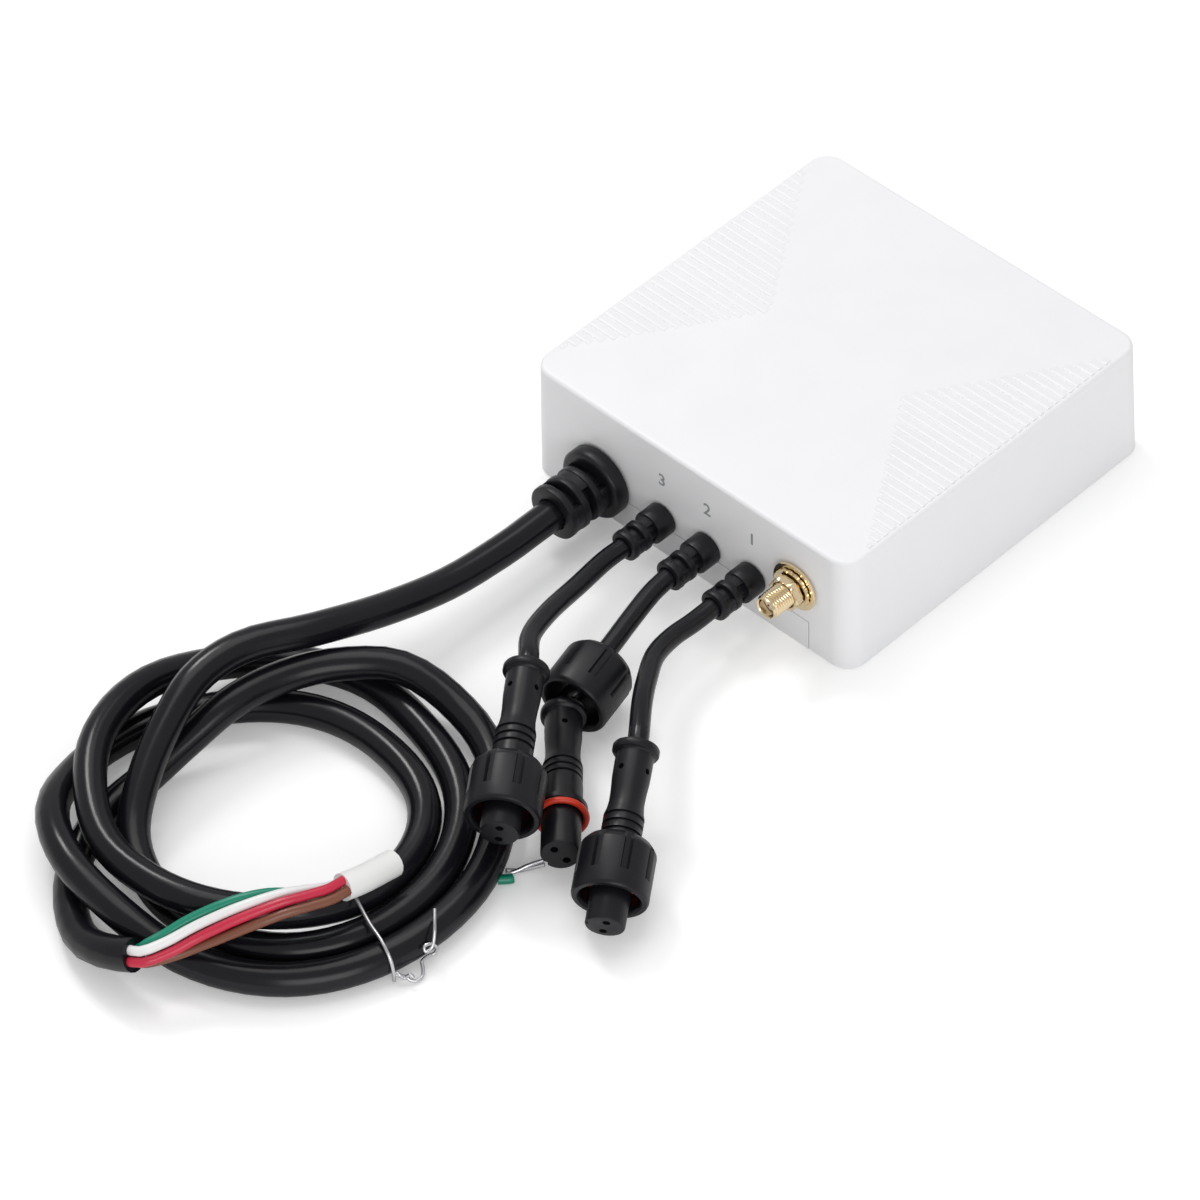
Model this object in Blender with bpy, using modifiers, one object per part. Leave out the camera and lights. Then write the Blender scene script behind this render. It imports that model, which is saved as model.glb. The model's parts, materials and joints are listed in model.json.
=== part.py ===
"""Three-phase monitor and surge gateway: a square white case with a mains cable, three plug-in sensor
leads and an aerial jack. Metres, +Z up, origin at the middle of the base, cable side facing -Y."""

import math

import bmesh
import bpy
import numpy as np
from mathutils import Matrix, Vector

MM = 0.001
GAP = 0.3 * MM

# Case
TOP_SIDE = 100.0 * MM
BASE_SIDE = 101.6 * MM
CASE_HEIGHT = 33.0 * MM
CORNER_RADIUS = 5.5 * MM
TOP_FILLET = 1.0 * MM
WALL = 2.2 * MM
PLATE_THICKNESS = 2.5 * MM
TONGUE_HEIGHT = 8.8 * MM
TONGUE_HALF_WIDTH = 38.3 * MM

# Fasteners
BOSS_RADIUS = 3.2 * MM
BOSS_INSET = 9.5 * MM
SCREW_RADIUS = 1.25 * MM
SCREW_HEAD_RADIUS = 2.5 * MM
SCREW_HEAD_HEIGHT = 1.3 * MM
SCREW_LENGTH = 10.0 * MM

# Circuit board
BOARD_SIDE = 76.0 * MM
BOARD_THICKNESS = 1.6 * MM
BOARD_CENTRE_Y = 3.0 * MM
STANDOFF_HEIGHT = 4.5 * MM
STANDOFF_RADIUS = 2.8 * MM
BOARD_SCREW_INSET = 4.5 * MM
BOARD_SCREW_RADIUS = 1.0 * MM
BOARD_SCREW_LENGTH = 5.0 * MM
BOARD_HEAD_RADIUS = 2.0 * MM

# Cable entries in the front wall
POWER_X = -27.2 * MM
POWER_Z = 11.8 * MM
LEAD_PITCH = 14.2 * MM
LEAD_MIDDLE_X = 6.7 * MM
LEAD_Z = 11.8 * MM
JACK_X = 34.5 * MM
JACK_Z = 18.3 * MM

# Power gland
FLANGE_RADIUS = 9.1 * MM
FLANGE_LENGTH = 4.0 * MM
POWER_NECK_RADIUS = 5.2 * MM
POWER_RING_RADIUS = 7.0 * MM
POWER_RELIEF_LENGTH = 12.2 * MM
POWER_COLLAR_RADIUS = 6.9 * MM

# Lead glands
LEAD_GLAND_RADIUS = 4.2 * MM
LEAD_GLAND_LENGTH = 13.0 * MM
LEAD_COLLAR_LENGTH = 5.0 * MM
LEAD_NECK_RADIUS = 2.7 * MM
INNER_COLLAR_LENGTH = 2.0 * MM

# Aerial jack
THREAD_RADIUS = 3.17 * MM
JACK_PROTRUSION = 10.0 * MM
JACK_BORE_RADIUS = 2.3 * MM
WASHER_RADIUS = 6.4 * MM
WASHER_THICKNESS = 0.7 * MM
LOCK_WASHER_RADIUS = 5.2 * MM
NUT_ACROSS_FLATS = 8.0 * MM
JACK_NUT_THICKNESS = 2.2 * MM
PIN_RADIUS = 0.5 * MM

# Cables
CABLE_RADIUS = 3.9 * MM
LEAD_RADIUS = 2.4 * MM
WIRE_RADIUS = 1.15 * MM
TIE_RADIUS = 0.45 * MM

# Coil: (bearing in degrees, radius and height of the cable's middle in millimetres), taken in order.
# Bearings run on past a full turn: nearly three and a half turns, crossing over and under each other.
COIL_CENTRE = Vector((-9.0, -170.0, 0.0)) * MM
COIL_STATIONS = (
    (131, 41.8, 20.4), (150, 38.4, 21.4), (168, 35.4, 20.6), (190, 32.4, 16.6), (212, 32.4, 11.6),
    (232, 34.2, 6.6), (256, 34.6, 4.2), (282, 35.8, 4.2), (315, 38.9, 4.2), (360, 39.3, 4.2),
    (405, 39.5, 4.2), (450, 40.6, 4.2), (478, 46.0, 4.2), (500, 49.0, 4.6), (518, 48.6, 8.0),
    (537, 47.4, 12.8), (560, 45.8, 14.6), (585, 42.8, 13.8), (605, 41.0, 13.0), (622, 38.4, 12.8),
    (642, 36.2, 12.7), (675, 32.8, 11.4), (720, 30.7, 7.2), (765, 30.6, 4.6), (810, 30.0, 4.2),
    (845, 33.2, 4.2), (885, 39.5, 4.2), (905, 45.0, 4.2), (928, 49.8, 6.4), (946, 51.6, 11.2),
    (963, 50.6, 12.8), (984, 47.6, 10.6), (1008, 46.2, 5.4), (1035, 48.0, 4.2), (1080, 48.2, 4.2),
    (1125, 48.6, 4.2), (1160, 48.6, 7.2), (1183, 45.2, 12.6), (1195, 41.6, 12.9), (1219, 35.0, 13.0),
    (1240, 31.0, 12.4), (1262, 31.0, 8.4), (1285, 35.6, 4.3), (1300, 41.0, 4.2), (1315, 46.8, 4.2),
    (1333, 53.2, 4.2), (1344, 56.0, 5.8), (1352, 56.2, 8.8), (1360, 55.2, 11.8),
)
LOOP_POINTS = 24

# Routes of the stretches that aren't coiled, in millimetres, and where each connector lies.
POWER_ROUTE = ((-27.4, -84.0, 11.8), (-28.6, -100.0, 12.6), (-30.4, -113.0, 14.6), (-32.6, -124.0, 17.2))
LEAD_ROUTES = (
    ((21.0, -70.5, 11.9), (21.3, -77.7, 12.8), (23.7, -85.6, 14.6), (29.2, -93.8, 17.0), (34.6, -100.8, 18.8),
     (39.3, -107.5, 19.4)),
    ((7.4, -70.0, 11.7), (9.4, -79.0, 11.3), (11.4, -87.0, 10.9), (13.2, -95.0, 10.4), (14.6, -101.0, 9.4)),
    ((-7.4, -70.0, 12.2), (-5.0, -80.9, 14.2), (-1.0, -94.3, 18.4), (3.5, -104.4, 21.6)),
)
# Rear end of each connector and the point that its nose aims at.
CONNECTOR_REAR = ((42.9, -111.0, 18.6), (15.9, -107.3, 7.6), (11.3, -113.4, 23.6))
CONNECTOR_AIM = ((67.5, -146.9, 7.5), (46.9, -139.6, 9.6), (37.9, -149.2, 17.4))
NOSE_LENGTH = 12.6 * MM

# Connector body, measured along its axis from the rear flange
REAR_FLANGE_RADIUS = 5.3 * MM
REAR_FLANGE_LENGTH = 2.2 * MM
BODY_RADIUS = 4.3 * MM
WAIST_RADIUS = 3.9 * MM
GRIP_RADIUS = 4.7 * MM
GRIP_START = 18.0 * MM
SHOULDER_START = 30.6 * MM
SHOULDER_LENGTH = 1.8 * MM
SHOULDER_RADIUS = 5.9 * MM
NOSE_RADIUS = 4.5 * MM
SOCKET_RADIUS = 0.9 * MM
SOCKET_SPACING = 4.2 * MM
SOCKET_DEPTH = 3.0 * MM
SEAL_SECTION = 0.75 * MM

# Coupling nut
NUT_RADIUS = 8.7 * MM
NUT_LENGTH = 14.0 * MM
NUT_REARS = (24.5 * MM, 0.0, 27.0 * MM)
NUT_BORE_RADIUS = 6.9 * MM
NUT_BACK_WALL = 3.2 * MM
NUT_SLOTS = 8
NUT_SLOT_WIDTH = 2.2 * MM
NUT_SLOT_DEPTH = 0.7 * MM
# The middle lead's nut is slid back along its lead: its middle and the direction of its mouth.
LOOSE_NUT_CENTRE = (15.4, -99.0, 9.9)
LOOSE_NUT_AXIS = (0.22, -0.97, -0.06)

# Freed wires and their sleeve, past the cable's cut end, in millimetres
WIRE_ROUTE = (
    (5.6, -218.2, 13.6), (8.5, -212.1, 15.5), (13.5, -204.4, 18.5), (18.4, -196.8, 20.3), (22.5, -188.6, 20.2),
)
SLEEVE_ROUTE = ((24.3, -180.6, 18.6), (23.0, -173.4, 15.8), (20.6, -166.2, 14.4))
WIRE_SPREAD = 1.75 * MM
WIRE_TWIST = math.radians(200)
SLEEVE_RADIUS = 3.2 * MM
TIE_BEARING = 343.0
TIE_OUTLINE = (
    (53.6, 0.7), (53.2, 4.6), (50.6, 8.0), (46.5, 9.3), (41.5, 9.4), (37.5, 11.2), (34.2, 13.2), (31.0, 13.5),
    (27.6, 11.8), (26.4, 8.6), (27.0, 5.0),
)

WHITE_ABS = ((0.83, 0.83, 0.85, 1), 0.45, 0.0)
BLACK_NYLON = ((0.025, 0.025, 0.028, 1), 0.55, 0.0)
BLACK_PVC = ((0.018, 0.018, 0.020, 1), 0.35, 0.0)
GOLD = ((0.86, 0.66, 0.30, 1), 0.22, 1.0)
STEEL = ((0.60, 0.60, 0.62, 1), 0.30, 1.0)
PTFE = ((0.90, 0.89, 0.86, 1), 0.45, 0.0)
RED_RUBBER = ((0.72, 0.06, 0.03, 1), 0.5, 0.0)
BOARD_GREEN = ((0.02, 0.20, 0.09, 1), 0.5, 0.0)
VARISTOR_BLUE = ((0.05, 0.14, 0.45, 1), 0.5, 0.0)
TUBE_GREY = ((0.62, 0.62, 0.60, 1), 0.4, 0.0)
WIRE_COLOURS = {
    "wire_green": ((0.0, 0.28, 0.17, 1), 0.35, 0.0),
    "wire_white": ((0.85, 0.85, 0.85, 1), 0.35, 0.0),
    "wire_red": ((0.62, 0.03, 0.08, 1), 0.35, 0.0),
    "wire_brown": ((0.22, 0.09, 0.05, 1), 0.35, 0.0),
}


def collection(name):
    made = bpy.data.collections.new(name)
    bpy.context.scene.collection.children.link(made)
    return made


def material(name, finish):
    colour, roughness, metallic = finish
    made = bpy.data.materials.new(name)
    made.use_nodes = True
    shader = made.node_tree.nodes["Principled BSDF"]
    shader.inputs["Base Color"].default_value = colour
    shader.inputs["Roughness"].default_value = roughness
    shader.inputs["Metallic"].default_value = metallic
    return made


def placed(name, data, finish, matrix=None):
    """A part's object, with its material."""
    obj = bpy.data.objects.new(name, data)
    if matrix is not None:
        obj.matrix_world = matrix
    data.materials.append(material(name, finish))
    PARTS.objects.link(obj)
    return obj


def hidden(name, data, matrix=None):
    """A cutter or an addition, which isn't a part."""
    obj = bpy.data.objects.new(name, data)
    if matrix is not None:
        obj.matrix_world = matrix
    obj.hide_render = True
    obj.display_type = "WIRE"
    CUTTERS.objects.link(obj)
    return obj


def boolean(obj, operation, other):
    modifier = obj.modifiers.new(operation.lower(), "BOOLEAN")
    modifier.operation = operation
    modifier.object = other


def mesh_from(bm, name):
    bmesh.ops.recalc_face_normals(bm, faces=bm.faces)
    mesh = bpy.data.meshes.new(name)
    bm.to_mesh(mesh)
    bm.free()
    return mesh


def box_mesh(name, low, high):
    bm = bmesh.new()
    bmesh.ops.create_cube(bm, size=1.0)
    low, high = Vector(low), Vector(high)
    size = high - low
    bmesh.ops.scale(bm, vec=size, verts=bm.verts)
    bmesh.ops.translate(bm, vec=(low + high) / 2, verts=bm.verts)
    return mesh_from(bm, name)


def cylinder_mesh(name, radius, length, sides=24):
    """A cylinder that stands on the origin along +Z."""
    bm = bmesh.new()
    bmesh.ops.create_cone(bm, cap_ends=True, segments=sides, radius1=radius, radius2=radius, depth=length)
    bmesh.ops.translate(bm, vec=(0, 0, length / 2), verts=bm.verts)
    return mesh_from(bm, name)


def turned_mesh(name, profile, sides=24):
    """A solid of revolution about Z from (radius, height) points that run down the outer side."""
    bm = bmesh.new()
    verts = [bm.verts.new((radius, 0, height)) for radius, height in profile]
    for first, second in zip(verts, verts[1:]):
        bm.edges.new((first, second))
    if min(radius for radius, _ in profile) > 0:
        bm.edges.new((verts[-1], verts[0]))
    mesh = bpy.data.meshes.new(name + "_profile")
    bm.to_mesh(mesh)
    bm.free()
    guide = bpy.data.objects.new(name + "_profile", mesh)
    CUTTERS.objects.link(guide)
    screw = guide.modifiers.new("turn", "SCREW")
    screw.steps = sides
    screw.render_steps = sides
    screw.use_merge_vertices = True
    screw.merge_threshold = 1e-5
    graph = bpy.context.evaluated_depsgraph_get()
    solid = bpy.data.meshes.new_from_object(guide.evaluated_get(graph))
    bpy.data.objects.remove(guide)
    bm = bmesh.new()
    bm.from_mesh(solid)
    bmesh.ops.remove_doubles(bm, verts=bm.verts, dist=1e-6)
    solid = mesh_from(bm, name)
    solid.shade_smooth()
    solid.set_sharp_from_angle(angle=math.radians(35))
    return solid


def along(start, direction):
    """A frame at start whose Z points along direction."""
    turn = Vector(direction).to_track_quat("Z", "Y").to_matrix().to_4x4()
    return Matrix.Translation(start) @ turn


def smooth_points(route, spacing):
    """Points about this far apart on a Catmull-Rom curve through the route."""
    ends = [route[0] * 2 - route[1], *route, route[-1] * 2 - route[-2]]
    points = []
    for before, start, end, after in zip(ends, ends[1:], ends[2:], ends[3:]):
        count = max(1, round((end - start).length / spacing))
        for step in range(count):
            t = step / count
            points.append(
                0.5 * (2 * start + (end - before) * t + (2 * before - 5 * start + 4 * end - after) * t**2
                       + (3 * start - before - 3 * end + after) * t**3)
            )
    return points + [route[-1]]


def tube(name, points, radius, finish, bevel_resolution=2):
    curve = bpy.data.curves.new(name, "CURVE")
    curve.dimensions = "3D"
    curve.bevel_depth = radius
    curve.bevel_resolution = bevel_resolution
    curve.use_fill_caps = True
    spline = curve.splines.new("POLY")
    spline.points.add(len(points) - 1)
    for target, point in zip(spline.points, points):
        target.co = (*point, 1)
    return placed(name, curve, finish)


def front_y(height):
    """Where the drafted front wall's outer face is at this height."""
    return -(BASE_SIDE + (TOP_SIDE - BASE_SIDE) * height / CASE_HEIGHT) / 2


def case_mesh(name, inset, low, high, fillet):
    """The case's drafted, round-cornered block, taken in by inset, between two heights."""
    bm = bmesh.new()
    bmesh.ops.create_cube(bm, size=1.0)
    for vert in bm.verts:
        height = high if vert.co.z > 0 else low
        half = -front_y(height) - inset
        vert.co = (math.copysign(half, vert.co.x), math.copysign(half, vert.co.y), height)
    upright = [e for e in bm.edges if abs(e.verts[0].co.z - e.verts[1].co.z) > (high - low) / 2]
    bmesh.ops.bevel(bm, geom=upright, offset=CORNER_RADIUS - inset, segments=6, profile=0.5, affect="EDGES")
    if fillet:
        rim = [e for e in bm.edges if min(v.co.z for v in e.verts) > high - fillet / 2]
        bmesh.ops.bevel(bm, geom=rim, offset=fillet, segments=3, profile=0.5, affect="EDGES")
    return mesh_from(bm, name)


def four_corners(half, centre_y=0.0):
    return [Vector((x, centre_y + y, 0)) for x in (-half, half) for y in (-half, half)]


def lead_x(index):
    """Lead 1 is nearest the aerial jack."""
    return LEAD_MIDDLE_X + (1 - index) * LEAD_PITCH


def wall_seat(height, radius):
    """Where a round flange about this height meets the front wall, with the touching gap."""
    return front_y(height - radius) - GAP


def front_hole(obj, name, x, z, radius):
    cutter = cylinder_mesh(name, radius, 20 * MM)
    boolean(obj, "DIFFERENCE", hidden(name, cutter, along((x, front_y(0) - 5 * MM, z), (0, 1, 0))))


BOSS_HALF = BASE_SIDE / 2 - BOSS_INSET
BOARD_BOTTOM = PLATE_THICKNESS + STANDOFF_HEIGHT + GAP
BOARD_TOP = BOARD_BOTTOM + BOARD_THICKNESS
BOARD_SCREW_HALF = BOARD_SIDE / 2 - BOARD_SCREW_INSET
ENTRIES = [("power_hole", POWER_X, POWER_Z, POWER_NECK_RADIUS)]
ENTRIES += [(f"lead_hole_{i + 1}", lead_x(i), LEAD_Z, LEAD_NECK_RADIUS) for i in range(3)]
ENTRIES += [("jack_hole", JACK_X, JACK_Z, THREAD_RADIUS)]


def make_cover():
    cover = placed("top_cover", case_mesh("top_cover", 0, 0, CASE_HEIGHT, TOP_FILLET), WHITE_ABS)
    cavity = case_mesh("cover_cavity", WALL, -5 * MM, CASE_HEIGHT - WALL, 0)
    boolean(cover, "DIFFERENCE", hidden("cover_cavity", cavity))
    notch = box_mesh("tongue_notch", (-TONGUE_HALF_WIDTH, -BASE_SIDE, -5 * MM),
                     (TONGUE_HALF_WIDTH, front_y(0) + WALL + MM, TONGUE_HEIGHT))
    boolean(cover, "DIFFERENCE", hidden("tongue_notch", notch))
    for index, corner in enumerate(four_corners(BOSS_HALF)):
        foot = PLATE_THICKNESS + GAP
        boss = cylinder_mesh(f"boss_{index}", BOSS_RADIUS, CASE_HEIGHT - WALL / 2 - foot, 16)
        low = Matrix.Translation(corner + Vector((0, 0, foot)))
        boolean(cover, "UNION", hidden(f"boss_{index}", boss, low))
        depth = SCREW_HEAD_HEIGHT + SCREW_LENGTH + 2 * GAP
        hole = cylinder_mesh(f"boss_hole_{index}", SCREW_RADIUS + GAP, depth, 12)
        boolean(cover, "DIFFERENCE", hidden(f"boss_hole_{index}", hole, Matrix.Translation(corner)))
    for name, x, z, radius in ENTRIES:
        front_hole(cover, "cover_" + name, x, z, radius + GAP)


def make_base():
    plate = case_mesh("base_plate", WALL + GAP, 0, PLATE_THICKNESS, 0)
    base = placed("base_plate", plate, WHITE_ABS)
    half = TONGUE_HALF_WIDTH - GAP
    bm = bmesh.new()
    bmesh.ops.create_cube(bm, size=1.0)
    for vert in bm.verts:
        height = TONGUE_HEIGHT - GAP if vert.co.z > 0 else 0
        face = front_y(height)
        vert.co = (math.copysign(half, vert.co.x), face + WALL if vert.co.y > 0 else face, height)
    boolean(base, "UNION", hidden("tongue", mesh_from(bm, "tongue")))
    strip = box_mesh("tongue_root", (-half, front_y(0) + WALL / 2, 0),
                     (half, front_y(0) + 3 * WALL, PLATE_THICKNESS))
    boolean(base, "UNION", hidden("tongue_root", strip))
    for index, corner in enumerate(four_corners(BOSS_HALF)):
        hole = cylinder_mesh(f"plate_hole_{index}", SCREW_RADIUS + GAP, 2 * PLATE_THICKNESS, 12)
        low = Matrix.Translation(corner - Vector((0, 0, PLATE_THICKNESS / 2)))
        boolean(base, "DIFFERENCE", hidden(f"plate_hole_{index}", hole, low))
        sink = cylinder_mesh(f"plate_sink_{index}", SCREW_HEAD_RADIUS + GAP, 2 * SCREW_HEAD_HEIGHT, 16)
        low = Matrix.Translation(corner - Vector((0, 0, SCREW_HEAD_HEIGHT - GAP)))
        boolean(base, "DIFFERENCE", hidden(f"plate_sink_{index}", sink, low))
    for index, corner in enumerate(four_corners(BOARD_SCREW_HALF, BOARD_CENTRE_Y)):
        root = corner + Vector((0, 0, PLATE_THICKNESS / 2))
        post = cylinder_mesh(f"standoff_{index}", STANDOFF_RADIUS, STANDOFF_HEIGHT + PLATE_THICKNESS / 2, 16)
        boolean(base, "UNION", hidden(f"standoff_{index}", post, Matrix.Translation(root)))
        hole = cylinder_mesh(f"standoff_hole_{index}", BOARD_SCREW_RADIUS + GAP, STANDOFF_HEIGHT + MM, 12)
        low = Matrix.Translation(corner + Vector((0, 0, PLATE_THICKNESS)))
        boolean(base, "DIFFERENCE", hidden(f"standoff_hole_{index}", hole, low))
    front_hole(base, "tongue_power_hole", POWER_X, POWER_Z, POWER_NECK_RADIUS + GAP)
    for index in range(3):
        front_hole(base, f"tongue_lead_hole_{index}", lead_x(index), LEAD_Z, LEAD_NECK_RADIUS + GAP)


def screw_mesh(name, radius, head_radius, head_height, length):
    """A cheese-head screw that points along -Z, with the underside of its head at the origin."""
    profile = ((0, head_height), (head_radius, head_height), (head_radius, 0), (radius, 0),
               (radius, radius - length), (0, -length))
    return turned_mesh(name, profile, 12)


def make_screws():
    for index, corner in enumerate(four_corners(BOSS_HALF)):
        name = f"cover_screw_{index + 1}"
        mesh = screw_mesh(name, SCREW_RADIUS, SCREW_HEAD_RADIUS, SCREW_HEAD_HEIGHT - GAP, SCREW_LENGTH - GAP)
        placed(name, mesh, STEEL, along(corner + Vector((0, 0, SCREW_HEAD_HEIGHT)), (0, 0, -1)))
    for index, corner in enumerate(four_corners(BOARD_SCREW_HALF, BOARD_CENTRE_Y)):
        name = f"board_screw_{index + 1}"
        mesh = screw_mesh(name, BOARD_SCREW_RADIUS, BOARD_HEAD_RADIUS, SCREW_HEAD_HEIGHT, BOARD_SCREW_LENGTH)
        placed(name, mesh, STEEL, Matrix.Translation(corner + Vector((0, 0, BOARD_TOP + GAP))))


def make_board():
    half = BOARD_SIDE / 2
    mesh = box_mesh("main_board", (-half, BOARD_CENTRE_Y - half, BOARD_BOTTOM),
                    (half, BOARD_CENTRE_Y + half, BOARD_TOP))
    board = placed("main_board", mesh, BOARD_GREEN)
    for index, corner in enumerate(four_corners(BOARD_SCREW_HALF, BOARD_CENTRE_Y)):
        hole = cylinder_mesh(f"board_hole_{index}", BOARD_SCREW_RADIUS + GAP, 3 * BOARD_THICKNESS, 12)
        low = Matrix.Translation(corner + Vector((0, 0, BOARD_BOTTOM - BOARD_THICKNESS)))
        boolean(board, "DIFFERENCE", hidden(f"board_hole_{index}", hole, low))


def on_board(name, x, y, size, finish):
    """A block component standing on the board, with x and y at its middle."""
    foot = BOARD_TOP + GAP
    low = (x - size[0] / 2, y - size[1] / 2, foot)
    high = (x + size[0] / 2, y + size[1] / 2, foot + size[2])
    return placed(name, box_mesh(name, low, high), finish)


def make_components():
    on_board("power_module", -18 * MM, 18 * MM, (34 * MM, 24 * MM, 15 * MM), BLACK_NYLON)
    on_board("radio_module", 18 * MM, 22 * MM, (18 * MM, 25 * MM, 3.2 * MM), STEEL)
    on_board("meter_chip", 14 * MM, -6 * MM, (9 * MM, 9 * MM, 1.4 * MM), BLACK_NYLON)
    on_board("power_terminal", POWER_X + 4 * MM, -26 * MM, (16 * MM, 8 * MM, 9 * MM), WHITE_ABS)
    for index in range(3):
        on_board(f"sensor_header_{index + 1}", lead_x(index), -28 * MM, (7 * MM, 6 * MM, 6 * MM), WHITE_ABS)
    foot = BOARD_TOP + GAP
    for index in range(3):
        name = f"varistor_{index + 1}"
        disc = cylinder_mesh(name, 5.5 * MM, 3.6 * MM, 20)
        place = ((-30 + 10 * index) * MM, -14 * MM, foot + 5.5 * MM)
        placed(name, disc, VARISTOR_BLUE, along(place, (1, 0, 0)))
    gas_tube = cylinder_mesh("gas_tube", 3.0 * MM, 8.0 * MM, 16)
    placed("gas_tube", gas_tube, TUBE_GREY, along((-30 * MM, -3 * MM, foot + 3.0 * MM), (1, 0, 0)))
    fuse = cylinder_mesh("fuse", 2.6 * MM, 20.0 * MM, 16)
    placed("fuse", fuse, TUBE_GREY, along((-14 * MM, -3 * MM, foot + 2.6 * MM), (1, 0, 0)))
    can = cylinder_mesh("bulk_capacitor", 5.0 * MM, 13.0 * MM, 20)
    placed("bulk_capacitor", can, BLACK_PVC, Matrix.Translation((30 * MM, 2 * MM, foot)))


def make_power_gland():
    seat = wall_seat(POWER_Z, FLANGE_RADIUS)
    inside = front_y(POWER_Z) + WALL + GAP
    neck = inside - seat
    flange = FLANGE_LENGTH
    end = flange + POWER_RELIEF_LENGTH
    groove = POWER_RING_RADIUS - 1.5 * MM
    ring = POWER_RELIEF_LENGTH / 6
    profile = [(0, end), (POWER_RING_RADIUS - 0.6 * MM, end)]
    for index in range(3):
        top = end - 2 * index * ring
        profile += [(POWER_RING_RADIUS, top - 0.5 * MM), (POWER_RING_RADIUS, top - ring)]
        profile += [(groove, top - ring), (groove, top - 2 * ring + (0 if index == 2 else 0.02 * MM))]
    profile += [(FLANGE_RADIUS - 0.8 * MM, flange), (FLANGE_RADIUS, flange - 0.8 * MM), (FLANGE_RADIUS, 0)]
    profile += [(POWER_NECK_RADIUS, 0), (POWER_NECK_RADIUS, -neck), (POWER_COLLAR_RADIUS, -neck)]
    profile += [(POWER_COLLAR_RADIUS, -neck - INNER_COLLAR_LENGTH), (0, -neck - INNER_COLLAR_LENGTH)]
    mesh = turned_mesh("power_gland", profile)
    placed("power_gland", mesh, BLACK_NYLON, along((POWER_X, seat, POWER_Z), (0, -1, 0)))
    return Vector((POWER_X, seat - end, POWER_Z))


def make_lead_gland(index):
    name = f"lead_gland_{index + 1}"
    seat = wall_seat(LEAD_Z, LEAD_GLAND_RADIUS)
    neck = front_y(LEAD_Z) + WALL + GAP - seat
    end = LEAD_GLAND_LENGTH
    ring = (end - LEAD_COLLAR_LENGTH) / 4
    slim = LEAD_GLAND_RADIUS - 0.4 * MM
    groove = LEAD_GLAND_RADIUS - 1.0 * MM
    profile = [(0, end), (slim - 0.4 * MM, end), (slim, end - 0.5 * MM), (slim, end - ring)]
    profile += [(groove, end - ring), (groove, end - 2 * ring), (slim, end - 2 * ring + 0.02 * MM)]
    profile += [(slim, end - 3 * ring), (groove, end - 3 * ring), (groove, end - 4 * ring)]
    profile += [(LEAD_GLAND_RADIUS, end - 4 * ring - 0.02 * MM), (LEAD_GLAND_RADIUS, 0)]
    profile += [(LEAD_NECK_RADIUS, 0), (LEAD_NECK_RADIUS, -neck), (LEAD_GLAND_RADIUS, -neck)]
    profile += [(LEAD_GLAND_RADIUS, -neck - INNER_COLLAR_LENGTH), (0, -neck - INNER_COLLAR_LENGTH)]
    mesh = turned_mesh(name, profile, 20)
    placed(name, mesh, BLACK_NYLON, along((lead_x(index), seat, LEAD_Z), (0, -1, 0)))
    return Vector((lead_x(index), seat - end, LEAD_Z))


def ring_profile(inner, outer, low, high):
    return ((outer, high), (outer, low), (inner, low), (inner, high))


def make_jack():
    """The aerial jack goes through the wall from inside, with its washers and nut outside."""
    seat = wall_seat(JACK_Z, WASHER_RADIUS)
    frame = along((JACK_X, seat, JACK_Z), (0, -1, 0))
    inside = front_y(JACK_Z) + WALL + GAP - seat
    flange = 5.0 * MM
    rear = -inside - 2 * MM
    profile = ((THREAD_RADIUS, JACK_PROTRUSION), (THREAD_RADIUS, -inside), (flange, -inside),
               (flange, rear), (JACK_BORE_RADIUS, rear), (JACK_BORE_RADIUS, JACK_PROTRUSION))
    placed("antenna_jack", turned_mesh("antenna_jack", profile), GOLD, frame)
    core = JACK_BORE_RADIUS - GAP
    depth = JACK_PROTRUSION - 2.0 * MM
    insulator = ring_profile(PIN_RADIUS + GAP, core, rear, depth)
    placed("antenna_insulator", turned_mesh("antenna_insulator", insulator, 16), PTFE, frame)
    pin = ((0, JACK_PROTRUSION - MM), (PIN_RADIUS, JACK_PROTRUSION - 1.2 * MM),
           (PIN_RADIUS, rear - MM), (0, rear - MM))
    placed("antenna_pin", turned_mesh("antenna_pin", pin, 12), GOLD, frame)
    clear = THREAD_RADIUS + GAP
    low = 0.0
    for name, radius in (("antenna_washer", WASHER_RADIUS), ("antenna_lock_washer", LOCK_WASHER_RADIUS)):
        washer = ring_profile(clear, radius, low, low + WASHER_THICKNESS)
        placed(name, turned_mesh(name, washer), GOLD, frame)
        low += WASHER_THICKNESS + GAP
    nut = cylinder_mesh("antenna_nut", NUT_ACROSS_FLATS / math.sqrt(3), JACK_NUT_THICKNESS, 6)
    nut = placed("antenna_nut", nut, GOLD, frame @ Matrix.Translation((0, 0, low)))
    hole = cylinder_mesh("antenna_nut_hole", clear, 20 * MM)
    boolean(nut, "DIFFERENCE", hidden("antenna_nut_hole", hole, frame @ Matrix.Translation((0, 0, -5 * MM))))
    return inside


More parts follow.
